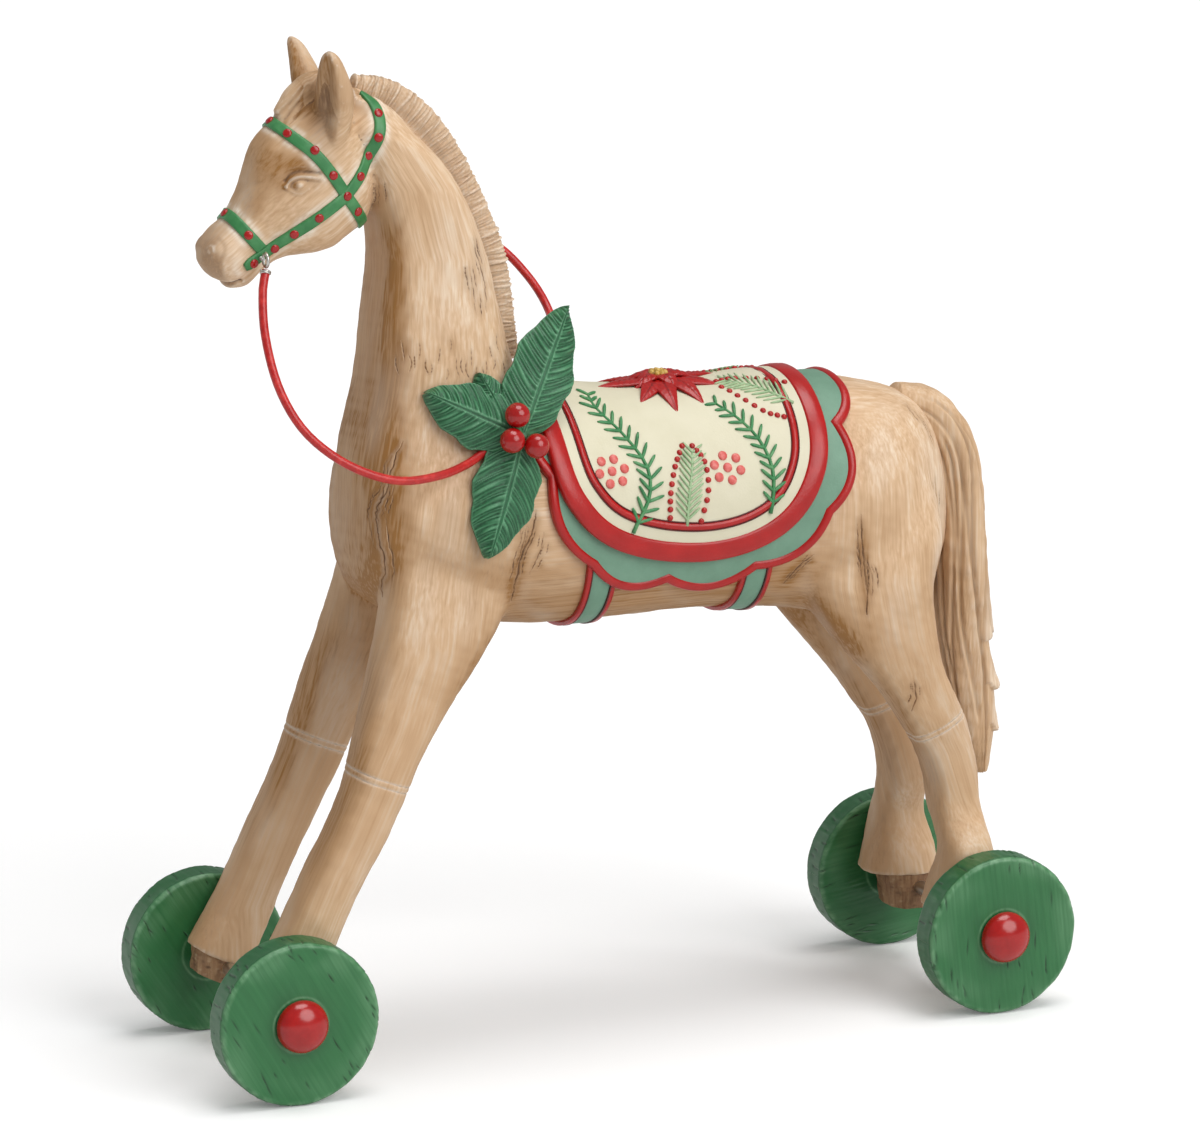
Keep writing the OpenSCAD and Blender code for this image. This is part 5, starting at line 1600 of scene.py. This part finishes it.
def on_sprig(local):
    """Points round the sprig's middle, leaned with the shoulder and set in place."""
    y, z = leaned(local[..., 1], local[..., 2], SPRIG_LEAN)
    return SPRIG + np.stack([local[..., 0], y, z], -1)


def holly_leaf(angle, out, length, width, lift, curl, seed):
    """A leaf from the pin, with a cut midrib, feathered veins and a waved edge: shape, dark, pale."""
    s, c = np.meshgrid(np.linspace(0, 1, 190), np.linspace(-1, 1, 61), indexing="ij")
    edge = np.abs(c)
    full = (1 - np.abs(2 * s**0.8 - 1) ** 2.1) ** 0.85
    waved = 1 + 0.06 * np.sin(TAU * 3.1 * s + 1.4 * np.sign(c) + seed) + 0.01 * np.sin(TAU * 9 * s + 2 * c)
    half = width / 2 * full * waved + 0.6
    rib = 2.6 * (1 - 0.45 * edge)
    sag = curl * s * s + lift * s - 0.12 * width * c * c
    place = s * length - half * (0.5 * edge + 0.35 * c * c)
    wobble = 0.6 * np.sin(place * 0.7 + 3 * np.sign(c)) + 0.3 * np.sin(place * 1.9 + c * 4 + seed)
    phase = TAU * (place + wobble) / VEIN_STEP
    vein = (0.5 + 0.5 * np.cos(phase)) ** 1.2 * (0.7 + 0.3 * np.sin(place * 1.3 + 5 * c))
    fine = 0.5 + 0.5 * np.cos(phase * 2.1 + 1.5 * np.sin(place))
    there = ramp(edge, 0.03, 0.16) * ramp(s, 0.02, 0.1) * (1 - 0.6 * ramp(edge, 0.92, 1))
    wave = 0.5 * np.sin(TAU * 1.7 * s + seed) * edge**2
    rise = there * (1.1 * vein + 0.2 * fine - 0.8) - 0.7 * swell(c, 0.035) + 0.45 * swell(edge - 0.08, 0.045)
    rise += wave
    top = np.stack([length * s, half * c, sag + rib + rise], -1)
    low = np.stack([length * s, half * c, sag + 0.15 + wave], -1)
    rings = np.concatenate([top, low[:, ::-1]], 1)
    a = math.radians(angle)
    x = rings[..., 0] * math.cos(a) - rings[..., 1] * math.sin(a)
    z = rings[..., 0] * math.sin(a) + rings[..., 1] * math.cos(a)
    shape = ring_mesh(on_sprig(np.stack([x, out + rings[..., 2], z], -1)))
    # Painted shade in the veins, on the midrib and on the underside, and painted highlight on the ridges and
    # at the rim, laid with the wash and rub
    dark = 0.65 * there * (1 - vein) ** 2 + 0.6 * swell(c, 0.04)
    pale = 0.5 * there * vein**2 + 0.35 * swell(edge - 0.08, 0.06) + 0.3 * ramp(edge, 0.93, 1)
    back = np.zeros(c.shape)
    return shape, np.concatenate([dark, back + 0.5], 1), np.concatenate([pale, back], 1)


# Direction, distance out, length, width, lift, curl and seed
LEAVES = [
    ("front", 29, 2, 44, 24.5, -4, 0, 1), ("small", 62, -4, 31.3, 17, 0, 2, 2),
    ("upper", 118, 1, 59, 27, -2, 0, 3), ("lower", -69, 1, 52, 27, 2, -6, 4),
]
for name, *sizes in LEAVES:
    shape, dark, pale = holly_leaf(*sizes)
    leaf = fitted(f"holly_{name}_leaf", shape, leaf_paint, "holly_green", f"holly_leaf_{name}")
    values(leaf, stain=ring_values(dark), chalk=ring_values(pale))


def berry(centre, radius, seed):
    """A berry with a slight unevenness and a dimple where its stalk was."""
    dice = np.random.default_rng(seed)
    lean = dice.normal(size=3) * 0.25 + [0.3, 0.8, -0.5]
    lean /= np.linalg.norm(lean)
    a = np.linspace(-math.pi / 2 + 0.06, math.pi / 2 - 0.06, 40)[:, None]
    t = full_turn(56)
    ball = np.stack([np.cos(a) * np.cos(t), np.cos(a) * np.sin(t), np.repeat(np.sin(a), 56, 1)], -1)
    dimple = 0.35 * swell(np.linalg.norm(ball - lean, axis=-1), 0.09)
    r = radius * (1 + 0.006 * ripple(ball * radius, 4, seed)) - dimple
    return ring_mesh(centre + ball * r[..., None])


BERRY_R, BERRY_OUT = 5.2, 8.7
BERRIES = ((3.4, 8.4), (6.8, -1.8), (-3.6, -4.9))
berries = [
    berry(on_sprig(np.array([dx, BERRY_OUT, dz])), BERRY_R, 70 + k) for k, (dx, dz) in enumerate(BERRIES)
]
fitted("holly_berry_beads", joined(berries), berry_lacquer, "berry_red", "holly_berries")

# Wheels

ROUND = 420
WHEEL_R, WHEEL_BORE, EDGE_R = 35, 3.06, 2
OUTER_FACE, INNER_FACE = 63.4, 48.0
FACE_CHECKS, RIM_CHECKS = 26, 40
CAP_R, CAP_FOOT, CAP_HIGH = 11.2, 65, 7


def wheel_side(y_face, out, seed, angle):
    """Rings of one wheel face from bore to rim, with drying checks along the grain, and their dark,
    pale and deep colour and their grain."""
    dice = np.random.default_rng(seed)
    r = np.r_[WHEEL_BORE, np.linspace(3.6, 33.0, 82), 33.6, 34.2, 34.7]
    t = full_turn(ROUND)
    x, z = r[:, None] * np.cos(t), r[:, None] * np.sin(t)
    u = x * math.cos(angle) + z * math.sin(angle)
    v = -x * math.sin(angle) + z * math.cos(angle)
    face, dark = np.zeros(x.shape), np.zeros(x.shape)
    for k in range(FACE_CHECKS):
        far = dice.uniform(27, 35) if k % 4 else dice.uniform(13, 28)
        turn = dice.uniform(0, TAU)
        begin, at, long = far * math.cos(turn), far * math.sin(turn), dice.uniform(4, 12)
        path = at + 0.5 * np.sin(u / 4 + dice.uniform(0, TAU)) + dice.normal(0, 0.08) * (u - begin)
        there = between(u, begin - long / 2, begin, begin, begin + long / 2)
        crack = there * swell(v - path, dice.uniform(0.2, 0.32))
        face -= dice.uniform(0.3, 0.7) * crack
        dark = np.maximum(dark, 0.9 * crack)
    grid = np.stack([x, 0 * x, z], -1)
    drawn_out = np.stack([u * 0.15, 0 * u, v], -1)
    face += 0.07 * ripple(drawn_out, 2.2, seed + 1) + 0.1 * ripple(grid, 16, seed + 2)
    rounded = EDGE_R - np.sqrt(np.maximum(0, EDGE_R**2 - np.clip(r - (WHEEL_R - EDGE_R), 0, EDGE_R) ** 2))
    y = y_face + out * (np.minimum(face, 0.3) - rounded[:, None] - 0.15)
    r = r[:, None]
    uneven = 1 - 0.006 * ramp(r, 26, 35) * (1 + ripple(grid, 9, seed + 3))
    pale = 0.55 * ramp(r, 32, 34.4) * (0.3 + 0.7 * ramp(ripple(grid, 5, seed + 4), -0.4, 0.5))
    pale += 0.28 * ramp(r, 20, 31) * ramp(ripple(grid, 22, seed + 5), -0.6, 0.8)
    pale += 0.6 * swell(r - 11.9, 0.5)
    deep = 0.5 * (1 - ramp(r, 8, 24)) * ramp(ripple(grid, 20, seed + 6), -0.5, 0.8)
    shape = np.stack([x * uneven, y, z * uneven], -1)
    return shape, np.clip(dark, 0, 1), np.clip(pale, 0, 1), deep, np.stack([v, y, u], -1)


def bored(radius, y, count):
    """A ring about the axle."""
    t = full_turn(count)
    return np.stack([radius * np.cos(t), np.full(count, y), radius * np.sin(t)], 1)


def wheel(seed, angle):
    """A turned wheel on the left side, about its own middle: shape, dark, pale, deep, grain."""
    outer, *paint_a = wheel_side(OUTER_FACE, 1, seed, angle)
    inner, *paint_b = wheel_side(INNER_FACE, -1, seed + 40, angle + 0.6)
    share = np.linspace(0, 1, 20)[1:-1][:, None, None]
    t = full_turn(ROUND)[None]
    rim = outer[-1] + (inner[-1] - outer[-1]) * share
    y = rim[..., 1]
    blank = 0 * y
    spot = np.stack([WHEEL_R * np.cos(t) + blank, y, WHEEL_R * np.sin(t) + blank], -1)
    rough = 0.1 * ripple(spot * [1, 0.3, 1], 3, seed + 7) + 0.12 * ripple(spot, 8, seed + 8)
    dice = np.random.default_rng(seed + 9)
    cuts = np.zeros(rough.shape)
    for _ in range(RIM_CHECKS):
        at, begin, long = dice.uniform(0, TAU), dice.uniform(46, 60), dice.uniform(3, 10)
        off = WHEEL_R * turn_from(t, at) + 0.3 * np.sin(y / 2 + at)
        there = between(y, begin, begin + 2, begin + long - 2, begin + long)
        cuts = np.maximum(cuts, there * swell(off, dice.uniform(0.25, 0.4)))
    rise = np.minimum(rough, 0.12) - 0.2 - 0.4 * cuts
    scale = WHEEL_R / np.hypot(rim[..., 0], rim[..., 2]) * (1 + rise / WHEEL_R)
    rim = rim * np.stack([scale, np.ones(scale.shape), scale], -1)
    bore = np.array([bored(WHEEL_BORE, y, ROUND) for y in (48.4, 63.0)])
    rings = np.concatenate([bore[1:], outer, rim, inner[::-1], bore[:1]])
    none = np.zeros((1, ROUND))
    # Dark, pale and deep colour of the bore and of the rim
    layers = [(none + 1, 0.8 * cuts), (none, 0.2 * ramp(rough, 0.02, 0.2)), (none, blank + 0.45)]
    paint = [
        np.concatenate([inside, a, round_rim, b[::-1], inside]).ravel()
        for (inside, round_rim), a, b in zip(layers, paint_a, paint_b)
    ]
    rim_grain = np.stack([WHEEL_R * t + blank, blank, rim[..., 1] * 2], -1)
    grain = np.concatenate([bore[1:], paint_a[3], rim_grain, paint_b[3][::-1], bore[:1]]).reshape(-1, 3)
    return loop_mesh(rings), *paint, grain


def hub_cap():
    """A domed cap with a turned rim, on the left side, about the axle."""
    profile = [(3.05, 64.2), (10.6, 64.0), (11.05, 64.15), (CAP_R, 64.5)]
    for a in np.radians(np.linspace(0, 88, 26)):
        profile.append((CAP_R * math.cos(a), CAP_FOOT + CAP_HIGH * math.sin(a)))
    return ring_mesh(np.array([bored(r, y, 72) for r, y in profile]))


# How each wheel's grain is turned
ANGLES = {"front_left": 1.05, "front_right": 0.4, "rear_left": 1.45, "rear_right": 2.4}
for k, (name, angle) in enumerate(ANGLES.items()):
    (verts, faces), dark, pale, deep, grain = wheel(200 + 10 * k, angle)
    cap_verts, cap_faces = hub_cap()
    move = np.array([FRONT_X if "front" in name else -FRONT_X, 0, AXLE_Z])
    disc, cap = (verts + move, faces), (cap_verts + move, cap_faces)
    if "right" in name:
        disc, cap = mirrored(disc), mirrored(cap)
    body = f"wheel_{name}"
    turned = fitted(f"painted_wheel_{name}", disc, wheel_paint, "green_wheel", body, body=body)
    grained(turned, grain, stain=dark, chalk=pale, blush=deep)
    fitted(f"hub_dome_{name}", cap, berry_lacquer, "red_cap", f"hub_cap_{name}")

# Studio

floor_paint, floor_shader = finish_of("pale_studio_floor", Roughness=0.9)
seen = node(floor_paint, "ShaderNodeLightPath")
shade = node(
    floor_paint, "ShaderNodeMix", [(0, seen.outputs["Is Camera Ray"])], data_type="RGBA",
    _6=(0.8, 0.8, 0.8, 1), _7=(0.9, 0.9, 0.9, 1),
)
floor_paint.node_tree.links.new(shade.outputs[2], floor_shader.inputs["Base Color"])
glow = node(
    floor_paint, "ShaderNodeMath", [(0, seen.outputs["Is Camera Ray"])], operation="MULTIPLY", _1=0.12
)
floor_shader.inputs["Emission Color"].default_value = (1, 1, 1, 1)
floor_paint.node_tree.links.new(glow.outputs[0], floor_shader.inputs["Emission Strength"])
FLOOR = 9000.0
corners = np.array([[x, y, 0] for y in (-FLOOR, FLOOR) for x in (-FLOOR, FLOOR)])
floor = piece("floor", (corners, [(0, 1, 3, 2)]), floor_paint, smooth=False)

world = bpy.data.worlds.new("studio")
bpy.context.scene.world = world
world.use_nodes = True
sky = world.node_tree.nodes["Background"]
sky.inputs["Color"].default_value = (1, 1, 1, 1)
rays = node(world, "ShaderNodeLightPath")
level = node(
    world, "ShaderNodeMath", [(0, rays.outputs["Is Camera Ray"])], operation="MULTIPLY_ADD", _1=0.7, _2=0.3
)
world.node_tree.links.new(level.outputs[0], sky.inputs["Strength"])

AZ, EL = math.radians(156.797), math.radians(13.522)
TARGET = Vector((0.00053, 0, 0.19693))
DISTANCE = 2.6844
back = Vector((math.sin(AZ) * math.cos(EL), -math.cos(AZ) * math.cos(EL), math.sin(EL)))
right = Vector((math.cos(AZ), math.sin(AZ), 0))


def sun(name, way, strength, angle):
    """A soft even light from far away."""
    data = bpy.data.lights.new(name, "SUN")
    data.energy = strength
    data.angle = math.radians(angle)
    obj = bpy.data.objects.new(name, data)
    obj.rotation_euler = (-way).to_track_quat("-Z", "Y").to_euler()
    bpy.context.scene.collection.objects.link(obj)


sun("top", back * 0.05 + right * 0.15 + Vector((0, 0, 1.0)), strength=1.6, angle=38)
sun("key", back * 0.8 + right * 0.8 + Vector((0, 0, 0.5)), strength=1.72, angle=45)
sun("rim", back * -0.5 - right * 1.0 + Vector((0, 0, 0.25)), strength=0.25, angle=45)

view = bpy.data.cameras.new("view")
view.lens = 190.5
view.sensor_width = 36
view.clip_end = 50
camera = bpy.data.objects.new("view", view)
camera.location = TARGET + back * DISTANCE
camera.rotation_euler = (-back).to_track_quat("-Z", "Y").to_euler()
bpy.context.scene.collection.objects.link(camera)
bpy.context.scene.camera = camera
bpy.context.scene.view_settings.view_transform = "Standard"
